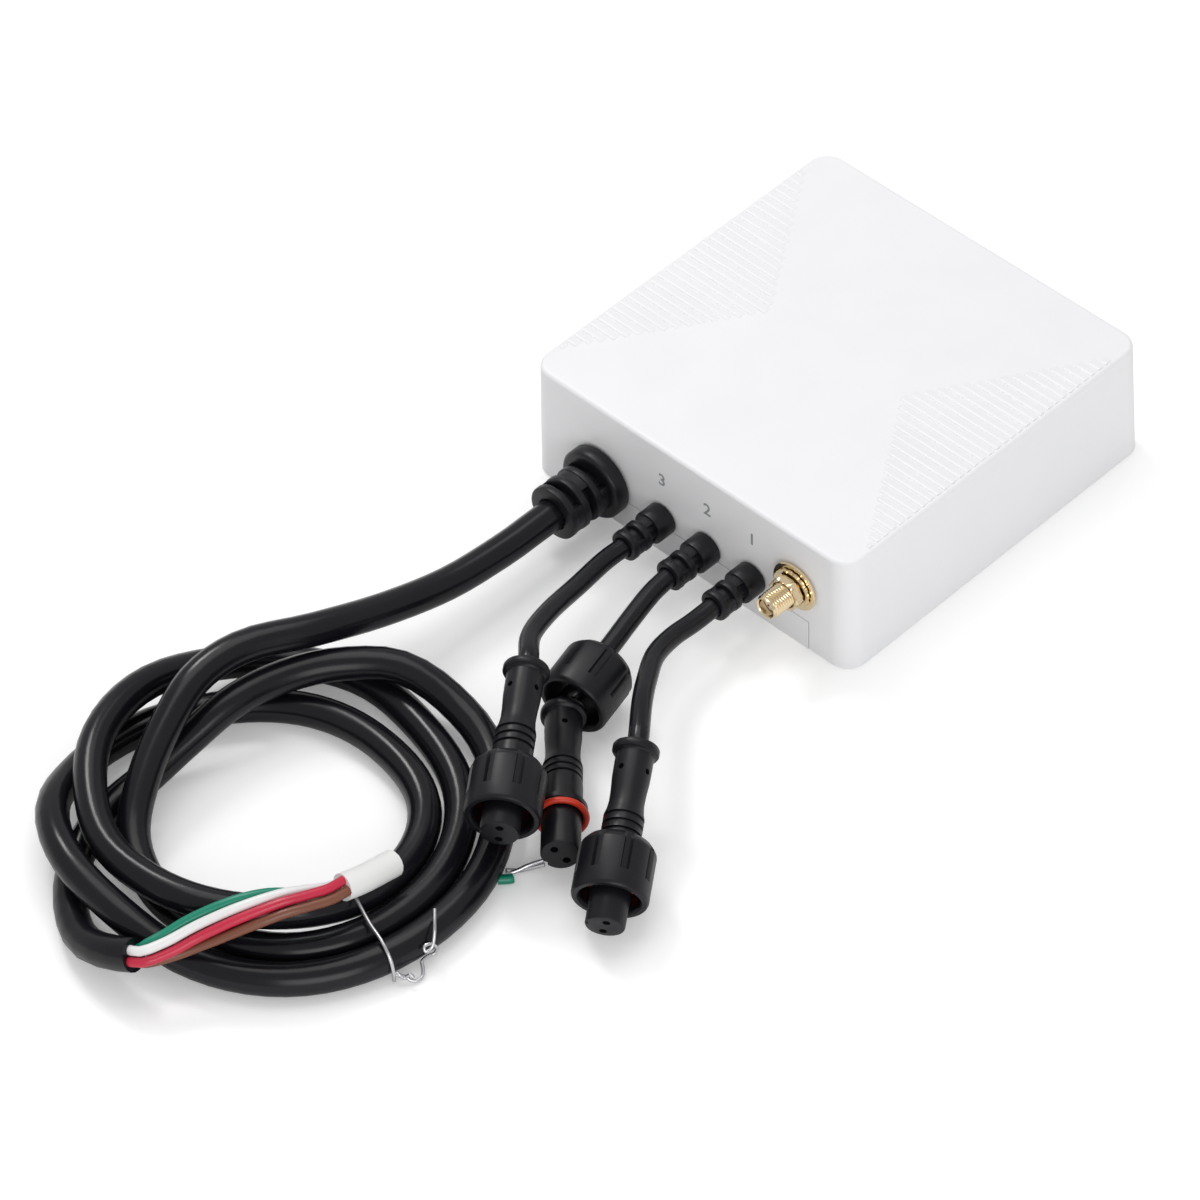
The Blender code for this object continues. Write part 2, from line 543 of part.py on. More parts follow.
def make_inner_wiring(jack_inside):
    """Short tails from the glands to their headers, and the aerial's pigtail."""
    start_y = front_y(LEAD_Z) + WALL + 2 * GAP + INNER_COLLAR_LENGTH + GAP
    for index in range(3):
        x = lead_x(index)
        route = [(x, start_y, LEAD_Z), (x, start_y + 5 * MM, LEAD_Z), (x, -31 * MM - GAP, LEAD_Z)]
        tube(f"sensor_tail_{index + 1}", [Vector(p) for p in route], 1.2 * MM, BLACK_PVC, 1)
    end_x = POWER_X + 4 * MM
    route = [(POWER_X, start_y, POWER_Z), (POWER_X, start_y + 4 * MM, POWER_Z),
             (end_x, -34 * MM, 13 * MM), (end_x, -30 * MM - GAP, 13 * MM)]
    tube("power_tail", smooth_points([Vector(p) for p in route], 4 * MM), 2.4 * MM, BLACK_PVC, 1)
    jack_y = wall_seat(JACK_Z, WASHER_RADIUS) + jack_inside + 3 * MM + GAP
    roof = BOARD_TOP + 2 * GAP + 3.2 * MM + 0.9 * MM
    route = [(JACK_X, jack_y, JACK_Z), (JACK_X, jack_y + 6 * MM, JACK_Z), (37 * MM, -26 * MM, JACK_Z),
             (38 * MM, -4 * MM, JACK_Z), (34 * MM, 14 * MM, 14 * MM), (24 * MM, 18 * MM, roof),
             (18 * MM, 18 * MM, roof)]
    tube("antenna_pigtail", smooth_points([Vector(p) for p in route], 5 * MM), 0.9 * MM, BLACK_PVC, 1)


def coil_points():
    """The coil's middle line: stations eased into each other at equal steps of bearing."""
    stations = np.array(COIL_STATIONS, float)
    bearings = np.arange(stations[0, 0], stations[-1, 0] + 1e-6, 360 / LOOP_POINTS)
    last = stations[-1, 0]
    bearings = np.append(bearings[bearings < last - 180 / LOOP_POINTS], last)
    slopes = np.gradient(stations[:, 1:], stations[:, 0], axis=0)
    points = []
    for bearing in bearings:
        i = min(max(np.searchsorted(stations[:, 0], bearing, side="right") - 1, 0), len(stations) - 2)
        span = stations[i + 1, 0] - stations[i, 0]
        t = (bearing - stations[i, 0]) / span
        start, end = stations[i, 1:], stations[i + 1, 1:]
        value = ((2 * t**3 - 3 * t**2 + 1) * start + (t**3 - 2 * t**2 + t) * span * slopes[i]
                 + (3 * t**2 - 2 * t**3) * end + (t**3 - t**2) * span * slopes[i + 1])
        angle = math.radians(bearing)
        radius, height = value * MM
        points.append(COIL_CENTRE + Vector((radius * math.cos(angle), radius * math.sin(angle), height)))
    return points


def least_self_gap(points, diameter):
    """The least clear distance between stretches of the tube over a third of a turn apart."""
    fine = np.array([a + (b - a) * (k / 6) for a, b in zip(points, points[1:]) for k in range(6)])
    apart = LOOP_POINTS // 3 * 6
    least = 1.0
    for index in range(len(fine) - apart):
        least = min(least, np.linalg.norm(fine[index + apart:] - fine[index], axis=1).min())
    return least - diameter


def make_power_cable(gland_end):
    points = coil_points()
    print(f"coil: least gap to itself {least_self_gap(points, 2 * CABLE_RADIUS) / MM:.2f} mm,"
          f" length {sum((b - a).length for a, b in zip(points, points[1:])):.3f} m")
    tube("power_cable_coil", points, CABLE_RADIUS, BLACK_PVC, 1)
    heading = (points[1] - points[0]).normalized()
    out = Vector((0, -1, 0))
    start = gland_end + out * GAP
    finish = points[0] - heading * GAP
    route = [start, start + out * 8 * MM, *(Vector(p) * MM for p in POWER_ROUTE)]
    route += [finish - heading * 8 * MM, finish]
    tube("power_cable_run", smooth_points(route, 9 * MM), CABLE_RADIUS, BLACK_PVC)
    return points[-1], (points[-1] - points[-2]).normalized()


def make_wires(cut_end, heading):
    """Four wires out of the cut end, twisted loosely about each other, and the sleeve that gathers them."""
    route = [cut_end + heading * GAP, cut_end + heading * 2.5 * MM, *(Vector(p) * MM for p in WIRE_ROUTE)]
    sleeve = [Vector(p) * MM for p in SLEEVE_ROUTE]
    into = (sleeve[1] - sleeve[0]).normalized()
    middle = smooth_points(route + [sleeve[0] - into * 4 * MM, sleeve[0] - into * GAP], 4 * MM)
    for order, (name, finish) in enumerate(WIRE_COLOURS.items()):
        points = []
        for index, point in enumerate(middle):
            before, after = middle[max(index - 1, 0)], middle[min(index + 1, len(middle) - 1)]
            ahead = (after - before).normalized()
            side = ahead.cross(Vector((0, 0, 1))).normalized()
            angle = math.pi / 4 + order * math.pi / 2 + WIRE_TWIST * index / len(middle)
            across = math.cos(angle) * side + math.sin(angle) * side.cross(ahead)
            points.append(point + WIRE_SPREAD * across)
        tube(name, points, WIRE_RADIUS, finish, 1)
    tube("end_sleeve", smooth_points(sleeve, 4 * MM), SLEEVE_RADIUS, PTFE)


def make_tie():
    angle = math.radians(TIE_BEARING)
    outward = Vector((math.cos(angle), math.sin(angle), 0))
    up = Vector((0, 0, 1))
    points = [COIL_CENTRE + (outward * radius + up * height) * MM for radius, height in TIE_OUTLINE]
    tube("coil_tie", smooth_points(points, 2.5 * MM), TIE_RADIUS, STEEL, 1)


def body_profile(nose):
    grip = GRIP_START
    end = SHOULDER_START + SHOULDER_LENGTH + nose
    profile = [(0, end), (NOSE_RADIUS - 0.5 * MM, end), (NOSE_RADIUS, end - 0.5 * MM)]
    profile += [(NOSE_RADIUS, SHOULDER_START + SHOULDER_LENGTH)]
    profile += [(SHOULDER_RADIUS, SHOULDER_START + SHOULDER_LENGTH), (SHOULDER_RADIUS, SHOULDER_START)]
    profile += [(GRIP_RADIUS, SHOULDER_START), (GRIP_RADIUS, grip), (WAIST_RADIUS, grip - 4 * MM)]
    profile += [(BODY_RADIUS, 8 * MM), (BODY_RADIUS, REAR_FLANGE_LENGTH)]
    profile += [(REAR_FLANGE_RADIUS, REAR_FLANGE_LENGTH), (REAR_FLANGE_RADIUS, 0), (0, 0)]
    return profile, end


def nut_mesh(name):
    """A coupling nut along +Z with its rear face at the origin, and finger slots round it."""
    back = REAR_FLANGE_RADIUS + GAP
    profile = ((NUT_BORE_RADIUS, NUT_LENGTH), (NUT_RADIUS - 0.5 * MM, NUT_LENGTH),
               (NUT_RADIUS, NUT_LENGTH - 0.8 * MM), (NUT_RADIUS, 2 * MM),
               (NUT_RADIUS - 1.6 * MM, 0), (back, 0), (back, NUT_BACK_WALL), (NUT_BORE_RADIUS, NUT_BACK_WALL))
    return turned_mesh(name, profile, 32)


def add_slots(nut, frame):
    for index in range(NUT_SLOTS):
        name = f"{nut.name}_slot_{index}"
        slot = box_mesh(name, (NUT_RADIUS - NUT_SLOT_DEPTH, -NUT_SLOT_WIDTH / 2, 2.5 * MM),
                        (NUT_RADIUS + 3 * MM, NUT_SLOT_WIDTH / 2, NUT_LENGTH - 5 * MM))
        turn = Matrix.Rotation(2 * math.pi * (index + 0.5) / NUT_SLOTS, 4, "Z")
        boolean(nut, "DIFFERENCE", hidden(name, slot, frame @ turn))


def make_connector(index, gland_end):
    number = index + 1
    rear = Vector(CONNECTOR_REAR[index]) * MM
    ahead = (Vector(CONNECTOR_AIM[index]) * MM - rear).normalized()
    frame = along(rear, ahead)
    profile, end = body_profile(NOSE_LENGTH)
    name = f"connector_body_{number}"
    body = placed(name, turned_mesh(name, profile), BLACK_NYLON, frame)
    for side in (-1, 1):
        name = f"socket_{number}_{side}"
        hole = cylinder_mesh(name, SOCKET_RADIUS, 2 * SOCKET_DEPTH, 10)
        place = Matrix.Translation((side * SOCKET_SPACING / 2, 0, end - SOCKET_DEPTH))
        boolean(body, "DIFFERENCE", hidden(name, hole, frame @ place))
    centre = NOSE_RADIUS + GAP + SEAL_SECTION
    turns = [2 * math.pi * k / 8 for k in range(8)]
    seal = [(centre + SEAL_SECTION * math.cos(a), -SEAL_SECTION * math.sin(a)) for a in turns]
    place = frame @ Matrix.Translation((0, 0, SHOULDER_START + SHOULDER_LENGTH + GAP + SEAL_SECTION))
    placed(f"seal_ring_{number}", turned_mesh(f"seal_ring_{number}", seal), RED_RUBBER, place)
    name = f"coupling_nut_{number}"
    nut_frame = frame @ Matrix.Translation((0, 0, NUT_REARS[index]))
    if index == 1:
        mouth = Vector(LOOSE_NUT_AXIS).normalized()
        nut_frame = along(Vector(LOOSE_NUT_CENTRE) * MM - mouth * NUT_LENGTH / 2, mouth)
    add_slots(placed(name, nut_mesh(name), BLACK_NYLON, nut_frame), nut_frame)
    start = gland_end + Vector((0, -GAP, 0))
    route = [start, *(Vector(p) * MM for p in LEAD_ROUTES[index])]
    route += [rear - ahead * 3 * MM, rear - ahead * GAP]
    tube(f"lead_cable_{number}", smooth_points(route, 6 * MM), LEAD_RADIUS, BLACK_PVC)
    print(name, "axis", [round(v, 5) for v in ahead])


def main():
    make_cover()
    make_base()
    make_screws()
    make_board()
    make_components()
    cut_end, heading = make_power_cable(make_power_gland())
    make_wires(cut_end, heading)
    make_tie()
    for index in range(3):
        make_connector(index, make_lead_gland(index))
    make_inner_wiring(make_jack())


for old in list(bpy.data.objects):
    bpy.data.objects.remove(old)
PARTS = collection("surge_monitor")
CUTTERS = collection("cutters")
CUTTERS.hide_render = True
main()
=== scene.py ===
"""Looks for the three-phase monitor and surge gateway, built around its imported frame. Metres, +Z up."""

import json
import math

import bmesh
import bpy
import numpy as np
from mathutils import Matrix, Vector

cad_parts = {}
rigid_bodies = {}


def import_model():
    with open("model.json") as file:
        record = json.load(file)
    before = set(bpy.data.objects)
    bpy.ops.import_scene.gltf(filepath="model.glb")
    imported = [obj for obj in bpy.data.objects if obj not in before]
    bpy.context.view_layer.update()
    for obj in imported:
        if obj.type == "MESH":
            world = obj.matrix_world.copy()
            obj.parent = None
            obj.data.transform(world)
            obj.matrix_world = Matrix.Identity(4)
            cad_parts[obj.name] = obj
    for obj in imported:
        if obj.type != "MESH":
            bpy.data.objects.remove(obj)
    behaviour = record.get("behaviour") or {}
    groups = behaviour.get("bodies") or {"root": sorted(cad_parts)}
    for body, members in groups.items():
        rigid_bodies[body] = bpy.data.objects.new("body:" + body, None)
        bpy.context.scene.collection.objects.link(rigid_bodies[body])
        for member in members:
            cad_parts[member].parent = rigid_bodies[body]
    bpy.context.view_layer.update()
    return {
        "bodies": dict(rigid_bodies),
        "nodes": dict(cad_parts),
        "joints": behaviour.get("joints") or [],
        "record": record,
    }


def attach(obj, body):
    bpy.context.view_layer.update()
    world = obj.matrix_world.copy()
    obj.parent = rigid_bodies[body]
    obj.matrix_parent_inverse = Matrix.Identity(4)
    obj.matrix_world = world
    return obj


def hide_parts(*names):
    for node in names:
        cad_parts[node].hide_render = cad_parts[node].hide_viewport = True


MM = 0.001
GAP = 0.3 * MM

# Case, as in the part's source
TOP_SIDE = 100.0 * MM
BASE_SIDE = 101.6 * MM
CASE_HEIGHT = 33.0 * MM
CORNER_RADIUS = 5.5 * MM
TOP_FILLET = 1.0 * MM
BASE_CHAMFER = 0.25 * MM
WALL = 2.2 * MM
CORNER_STEPS, FILLET_STEPS = 14, 8
TONGUE_HEIGHT = 8.8 * MM
TONGUE_HALF_WIDTH = 38.3 * MM
NOTCH_BELOW, NOTCH_PAST_WALL = 5 * MM, 1 * MM

# Ridges on the lid, in millimetres: a section of (across, share of the height), and the fields' shape
RIB_PITCH, RIB_HEIGHT, RIB_SUNK = 2.5, 0.3, 0.08
RIB_SECTION = ((0.0, 0.0), (0.25, 0.75), (0.5, 1.0), (0.8, 0.95), (1.8, 0.35), (2.35, 0.0))
RIB_FIELD_X, RIB_FIELD_Y, RIB_APEX, RIB_MARGIN = 48.8, 42.0, 21.0, 0.3
RIB_END_LENGTH, RIB_END_SHARE = 0.5, 0.15
RIB_SMOOTH_DEGREES = 50

# Numbers over the leads, each with its place along the wall in millimetres
LABELS = ((1, 20.5), (2, 6.4), (3, -7.9))
LABEL_Z, LABEL_SIZE, LABEL_DEPTH, LABEL_WEIGHT = 23.0 * MM, 4.8 * MM, 0.03 * MM, 0.06 * MM

# Entries in the front wall
POWER_X, POWER_Z = -27.2 * MM, 11.8 * MM
LEAD_X = (20.9 * MM, 6.7 * MM, -7.5 * MM)
LEAD_Z = 11.8 * MM
JACK_X, JACK_Z = 34.5 * MM, 18.3 * MM
FLANGE_RADIUS, LEAD_GLAND_RADIUS, WASHER_RADIUS = 9.1 * MM, 4.2 * MM, 6.4 * MM
POWER_GLAND_LENGTH, LEAD_GLAND_LENGTH = 16.2 * MM, 13.0 * MM

# Glands, in millimetres. A lip's rows are (past the cable, back from the tip).
# Rings have a height, a radius, their groove's radius and a count.
POWER_LIP = ((0.1, 0.6), (0.35, 0.0))
POWER_RINGS = (12.2 / 6, 7.0, 4.3, 3)
POWER_FLANGE = ((7.6, 4.0), (8.3, 3.95), (8.8, 3.7), (9.1, 3.2), (9.1, 0.3), (8.9, 0.0), (5.0, 0.0))
LEAD_LIP = ((0.1, 0.5), (0.3, 0.0))
LEAD_RINGS = (2.0, 3.85, 2.55, 2)
LEAD_COLLAR = ((3.9, 5.0), (4.1, 4.9), (4.2, 4.6), (4.2, 0.2), (4.1, 0.0), (2.6, 0.0))
RING_FRONT = ((0.45, 0.0), (0.1, 0.2), (0.0, 0.5))
RING_BACK = ((0.0, 0.35), (0.15, 0.1))
BRIDGE_INSET, BRIDGE_HALF_ANGLE, RING_CLEARANCE = 0.15, 0.6, 0.02
POWER_SEGMENTS, LEAD_SEGMENTS = 96, 72

# Aerial jack, in millimetres from the wall
THREAD_RADIUS, THREAD_PITCH, THREAD_DEPTH = 3.17, 25.4 / 36, 0.42
THREAD_START, THREAD_FADE, THREAD_ROWS = 3.4, 0.4, 6
JACK_LENGTH, JACK_BORE, JACK_BORE_DEPTH, JACK_LAND = 10.0, 2.3, 2.4, 0.45
MOUTH_BEVEL_DEPTH, MOUTH_BEVEL, MOUTH_RIM = 0.3, 0.25, 0.4
NECK_INSET, NECK_STEP = 0.3, 0.2
RING_BORE = THREAD_RADIUS + 0.15
WASHER_ROWS = ((6.2, 0.0), (6.4, 0.15), (6.4, 0.55), (6.25, 0.7))
LOCK_BACK, LOCK_FRONT, LOCK_INNER = 1.0, 1.65, 4.4
TOOTH_TIP, TOOTH_ROOT, TOOTH_COUNT, TOOTH_SHARE = 5.2, 5.0, 16, 0.55
TOOTH_BACK, TOOTH_FRONT = 0.95, 1.75
HEX_FLAT, HEX_CORNER, HEX_BEVEL = 4.0, 4.62, 4.15
HEX_BACK, HEX_FRONT, HEX_BEVEL_DEPTH, HEX_BORE_BEVEL = 2.0, 4.2, 0.3, 0.2

# Cables
CABLE_RADIUS = 3.9 * MM
LEAD_RADIUS = 2.4 * MM
WIRE_RADIUS = 1.15 * MM
SLEEVE_RADIUS = 3.2 * MM
TIE_RADIUS = 0.45 * MM
TAIL_RADIUS = 0.4 * MM
TIP_RADIUS = 0.5 * MM
CABLE_SIDES, LEAD_SIDES, WIRE_SIDES, FINE_SIDES = 6, 5, 4, 3
CABLE_SPACING, LEAD_SPACING, WIRE_SPACING = 4 * MM, 2 * MM, 2 * MM
SLEEVE_SPACING, TIE_SPACING, TAIL_SPACING, TIP_SPACING = 1.5 * MM, 1.5 * MM, 0.4 * MM, 0.5 * MM
CABLE_TUCK = 1 * MM
UP = Vector((0, 0, 1))
OUT = Vector((0, -1, 0))

# The mains cable's route, and its coil as (bearing in degrees, radius, height)
POWER_ROUTE = ((-27.4, -84.0, 11.8), (-28.6, -100.0, 12.6), (-31.3, -118.0, 15.9), (-35.6, -135.0, 19.6))
POWER_STRAIGHT = 8 * MM
COIL_CENTRE = Vector((-9.0, -170.0, 0.0)) * MM
COIL_STATIONS = (
    (131, 41.8, 20.4), (150, 38.4, 21.4), (168, 35.4, 20.6), (190, 32.4, 16.6), (212, 32.4, 11.6),
    (232, 34.2, 6.6), (256, 34.6, 4.2), (282, 35.8, 4.2), (315, 38.5, 4.2), (360, 38.7, 4.2),
    (405, 38.9, 4.2), (450, 40.4, 4.2), (478, 46.0, 4.2), (500, 49.0, 4.6), (518, 48.6, 8.0),
    (537, 47.4, 12.8), (560, 45.8, 14.6), (585, 42.8, 13.8), (605, 41.0, 13.0), (622, 38.4, 12.8),
    (642, 36.2, 12.7), (660, 34.2, 11.7), (675, 32.8, 10.3), (690, 31.8, 8.7), (720, 30.7, 5.8),
    (765, 30.7, 4.4), (810, 30.0, 4.2), (845, 33.2, 4.2), (885, 39.5, 4.2), (905, 45.0, 4.2),
    (928, 49.8, 6.4), (946, 51.6, 11.2), (963, 50.6, 12.8), (984, 47.6, 10.6), (1008, 46.2, 5.4),
    (1035, 47.0, 4.2), (1080, 46.9, 4.2), (1125, 47.4, 4.2), (1160, 48.4, 7.2), (1183, 45.2, 12.6),
    (1195, 41.6, 12.9), (1219, 35.0, 13.0), (1240, 31.0, 12.4), (1262, 31.0, 8.4), (1285, 35.6, 4.3),
    (1300, 41.0, 4.2), (1315, 46.8, 4.2), (1333, 53.2, 4.2), (1344, 56.0, 5.8), (1352, 56.2, 8.8),
    (1360, 55.2, 11.8),
)
COIL_STEP = 5.0
# Points left out at the coil's start, and how far past them the run aims, so that the join has no kink
COIL_SKIP, JOIN_AHEAD = 4, 5

# The cores. For each one: its step across the bundle, its share of the opening, and which layer it lies in
WIRE_ORDER = {"green": (1, 2, -1), "white": (1, 0, 1), "red": (-1, 0, 1), "brown": (-1, -2, -1)}
WIRE_PITCH = 1.24 * MM
RIBBON_START, RIBBON_TURN = math.radians(128), math.radians(112)
RIBBON_OPENING = 0.7
WIRE_ROUTE = (
    (5.6, -218.2, 13.6), (8.5, -212.1, 15.5), (13.5, -204.4, 18.5), (18.2, -196.6, 19.8),
    (21.4, -190.4, 18.7),
)
WIRE_STRAIGHT, SLEEVE_APPROACH, SLEEVE_ENTRY = 2.5 * MM, 4 * MM, 2 * MM
SLEEVE_ROUTE = ((23.4, -183.0, 16.9), (23.9, -177.5, 15.4), (23.6, -168.2, 12.7))

# The coil's tie, as (radius, height) on one bearing, and its two ends:
# one hooked, looped and standing up, the other twisted round its start
TIE_BEARING = 343.0
TIE_OUTLINE = (
    (51.6, 0.9), (51.5, 4.4), (49.8, 7.7), (46.5, 9.3), (41.5, 9.4), (37.5, 10.6), (34.2, 11.9),
    (31.0, 12.1), (27.4, 10.8), (26.4, 8.0), (27.0, 5.0),
)
TAIL_ROUTES = (
    ((40.0, -185.1, 3.5), (41.1, -184.3, 2.4), (42.0, -183.2, 1.9), (43.1, -182.6, 1.0),
     (43.9, -181.5, 0.7), (43.9, -179.9, 0.9), (43.0, -178.8, 1.6), (41.8, -177.9, 2.3),
     (41.6, -176.1, 2.3), (42.1, -174.4, 2.3), (42.4, -173.9, 4.0), (42.2, -175.3, 6.3),
     (41.8, -176.9, 6.4), (42.5, -177.2, 5.5), (42.8, -175.6, 5.9), (42.3, -174.3, 7.8),
     (41.1, -172.8, 9.5), (38.7, -170.3, 10.9)),
    ((40.2, -184.9, 2.6), (40.8, -184.6, 3.5), (41.6, -184.4, 3.1), (42.0, -183.9, 2.0),
     (42.4, -183.2, 2.2), (43.1, -182.7, 3.0), (43.7, -182.4, 2.3)),
)

# Bare tinned ends of the cores, and a stub of insulation, that come out past the outer loop
TIP_ROUTES = (
    ((36.6, -146.8, 1.2), (37.9, -144.6, 1.6), (39.2, -142.2, 2.4), (41.2, -139.6, 3.4)),
    ((36.2, -146.4, 1.9), (37.8, -144.0, 1.1), (39.6, -142.3, 1.8), (41.9, -140.0, 2.9)),
)
STUB_ROUTE = ((36.6, -149.4, 1.6), (38.2, -147.6, 1.5), (38.6, -146.8, 1.4))

# Sensor leads and connectors. A connector's sizes are in millimetres from its cable end.
LEAD_ROUTES = (
    ((21.0, -70.5, 11.9), (21.3, -77.7, 12.8), (23.7, -85.6, 14.6), (29.2, -93.8, 17.0),
     (34.6, -100.8, 18.8)),
    ((7.4, -70.0, 11.7), (9.4, -79.0, 11.3), (11.4, -87.0, 10.9), (13.2, -95.0, 10.4),
     (14.6, -101.0, 9.4)),
    ((-7.4, -70.0, 12.2), (-5.0, -80.9, 14.2), (-1.0, -94.3, 18.4), (3.5, -104.4, 21.6)),
)
LEAD_APPROACH, LEAD_ENTRY = 3 * MM, 0.5 * MM
CONNECTOR_REAR = ((42.9, -111.0, 18.6), (15.9, -107.3, 7.6), (11.3, -113.4, 23.6))
CONNECTOR_AIM = ((67.5, -146.9, 7.5), (46.9, -139.6, 9.6), (37.9, -149.2, 17.4))
CONNECTOR_ROLL = (75.0, 128.0, 83.0)
GRIP_ROWS = (
    (2.5, 0.0), (4.6, 0.0), (5.1, 0.2), (5.3, 0.55), (5.3, 1.65), (5.1, 2.0), (4.6, 2.2), (4.3, 2.5),
    (4.3, 5.0), (4.25, 8.5), (4.0, 12.0), (3.95, 14.5), (4.2, 16.6), (4.5, 17.6),
)
GROOVE_STARTS = (18.0, 20.0, 22.0)
GROOVE_ROWS = ((4.55, 0.0), (4.6, 0.15), (4.15, 0.3), (4.15, 0.75), (4.6, 0.9))
NECK_ROWS = ((4.65, 23.6), (4.7, 24.2))
NECK_RADIUS = 4.7
SHOULDER_START, SHOULDER_END, SHOULDER_RADIUS, SHOULDER_BEVEL = 30.6, 32.4, 5.9, 0.3
SHOULDER_STEP = 0.1
NOSE_LENGTH, NOSE_RADIUS = 12.6, 4.5
NOSE_END = SHOULDER_END + NOSE_LENGTH
NOSE_EDGE = ((0.0, 0.5), (0.2, 0.12), (0.6, 0.0))
PIN_PLACES, PIN_RADIUS, PIN_LENGTH = (-2.1, 2.1), 0.9, 6.0
KEY_RADIUS, KEY_LENGTH, KEY_AHEAD = 0.8, 12.0, 1.5
EYELETS = (45.0, 135.0, 225.0, 315.0)
EYELET_RADIUS, EYELET_LENGTH, EYELET_OUT, EYELET_HEIGHT = 0.7, 2.4, 4.4, 7.0
SEAL_SECTION, SEAL_STEPS = 0.75, 16
BODY_SEGMENTS, NUT_SEGMENTS, PEG_SEGMENTS = 72, 160, 24

# Coupling nuts, in millimetres from the rear face. Slotted rows: (radius, slot's depth, height).
NUT_REARS = (24.5, 0.0, 27.0)
NUT_LENGTH, NUT_RADIUS, NUT_BORE, NUT_BACK_HOLE, NUT_BACK_WALL = 14.0, 8.7, 6.9, 5.6, 3.2
NUT_SLOTS, SLOT_HALF_SHARE = 8, 0.145
NUT_REAR_ROWS = ((6.9, 0.0), (7.3, 0.1))
NUT_SLOT_ROWS = (
    (8.25, 0.4, 1.3), (8.6, 0.7, 1.9), (NUT_RADIUS, 0.8, 2.4), (NUT_RADIUS, 0.8, NUT_LENGTH - 4.6),
)
# Rows of (how far inside the radius, back from the mouth): the outside's rim, then the bore with its thread
NUT_RIM = ((0.02, 4.3), (0.0, 0.9), (0.15, 0.35), (0.45, 0.0))
NUT_THREAD = (
    (-0.4, 0.0), (0.0, 0.4), (0.3, 1.4), (0.0, 2.2), (0.3, 3.6), (0.0, 4.4), (0.3, 5.8), (0.0, 6.6),
)
LOOSE_NUT = 1
LOOSE_NUT_CENTRE = (15.4, -99.0, 9.9)
LOOSE_NUT_AXIS = (0.22, -0.97, -0.06)

# Camera, worked out from the case's edges in the photograph
CAMERA_PLACE = (0.75820778, -0.79382011, 1.08115038)
CAMERA_RIGHT = (0.71374684, 0.69933153, -0.03874085)
CAMERA_UP = (-0.48246043, 0.53099586, 0.69661706)
CAMERA_AHEAD = (-0.50773751, 0.4785173, -0.71639641)
CAMERA_LENS, CAMERA_SENSOR, CAMERA_FAR = 196.852, 36.0, 20.0

# Lamps: place, size and power, all aimed at one point
LAMP_TARGET = (0.0, -0.08, 0.0)
LAMPS = {
    "overhead": ((-0.25, 0.1, 1.1), 0.8, 3.5),
    "key_left": ((-0.7, 0.1, 0.9), 0.25, 2.8),
    "fill_front": ((0.95, -0.75, 0.5), 0.7, 4.5),
}
WHITE = (1, 1, 1, 1)
WORLD_STRENGTH = 0.55
FLOOR_COLOUR, FLOOR_ROUGHNESS, FLOOR_SPECULAR = (0.94, 0.94, 0.94, 1), 0.9, 0.1
FLOOR_SIZE, FLOOR_LIFT, FLOOR_DROP = 4.0, 0.2, 0.05 * MM

# Finishes: colour, roughness, and what differs from the usual moulded surface
FINISH_TABLE = {
    "white_case": ((0.86, 0.86, 0.875), 0.42, {"grain": 1800, "bump_mm": 0.008, "tint": 0.008}),
    "black_nylon": ((0.007, 0.007, 0.0095), 0.38, {"grain": 1600, "tint": 0.12, "specular": 0.3}),
    "black_pvc": ((0.006, 0.006, 0.0085), 0.23,
                  {"grain": 1100, "bump_mm": 0.012, "tint": 0.12, "specular": 0.3}),
    "gold": ((0.86, 0.70, 0.46), 0.18, {"metallic": 1.0, "grain": 2500, "bump_mm": 0.006, "tint": 0.04}),
    "steel": ((0.62, 0.62, 0.64), 0.28, {"metallic": 1.0, "grain": 2500, "bump_mm": 0.006, "tint": 0.04}),
    "white_insulator": ((0.86, 0.86, 0.85), 0.4, {"grain": 1200, "bump_mm": 0.01, "tint": 0.02}),
    "red_rubber": ((0.62, 0.035, 0.012), 0.42, {"bump_mm": 0.015}),
    "board": ((0.02, 0.2, 0.09), 0.4, {"grain": 900}),
    "varistor": ((0.05, 0.14, 0.45), 0.35, {"grain": 900, "bump_mm": 0.03}),
    "ceramic": ((0.62, 0.62, 0.6), 0.3, {"grain": 900, "bump_mm": 0.01}),
    "green_wire": ((0.0, 0.23, 0.14), 0.32, {"bump_mm": 0.008}),
    "white_wire": ((0.83, 0.83, 0.83), 0.32, {"bump_mm": 0.008, "tint": 0.02}),
    "red_wire": ((0.56, 0.018, 0.055), 0.32, {"bump_mm": 0.008}),
    "brown_wire": ((0.19, 0.065, 0.035), 0.32, {"bump_mm": 0.008}),
    "print": ((0.30, 0.30, 0.31), 0.5, {"grain": 2500, "bump_mm": 0.004, "tint": 0.05}),
}
BUMP_STRENGTH = 0.6
FINE_DETAIL, SLOW_DETAIL, SLOW_SHARE = 3, 4, 25
NOISE_LOW, NOISE_HIGH = 0.3, 0.7
ROUGHNESS_SPREAD, ROUGHNESS_LEAST = 0.12, 0.02


# Materials
def noise(nodes, links, place, scale, detail):
    made = nodes.new("ShaderNodeTexNoise")
    made.inputs["Scale"].default_value = scale
    made.inputs["Detail"].default_value = detail
    links.new(place.outputs["Object"], made.inputs["Vector"])
    return made


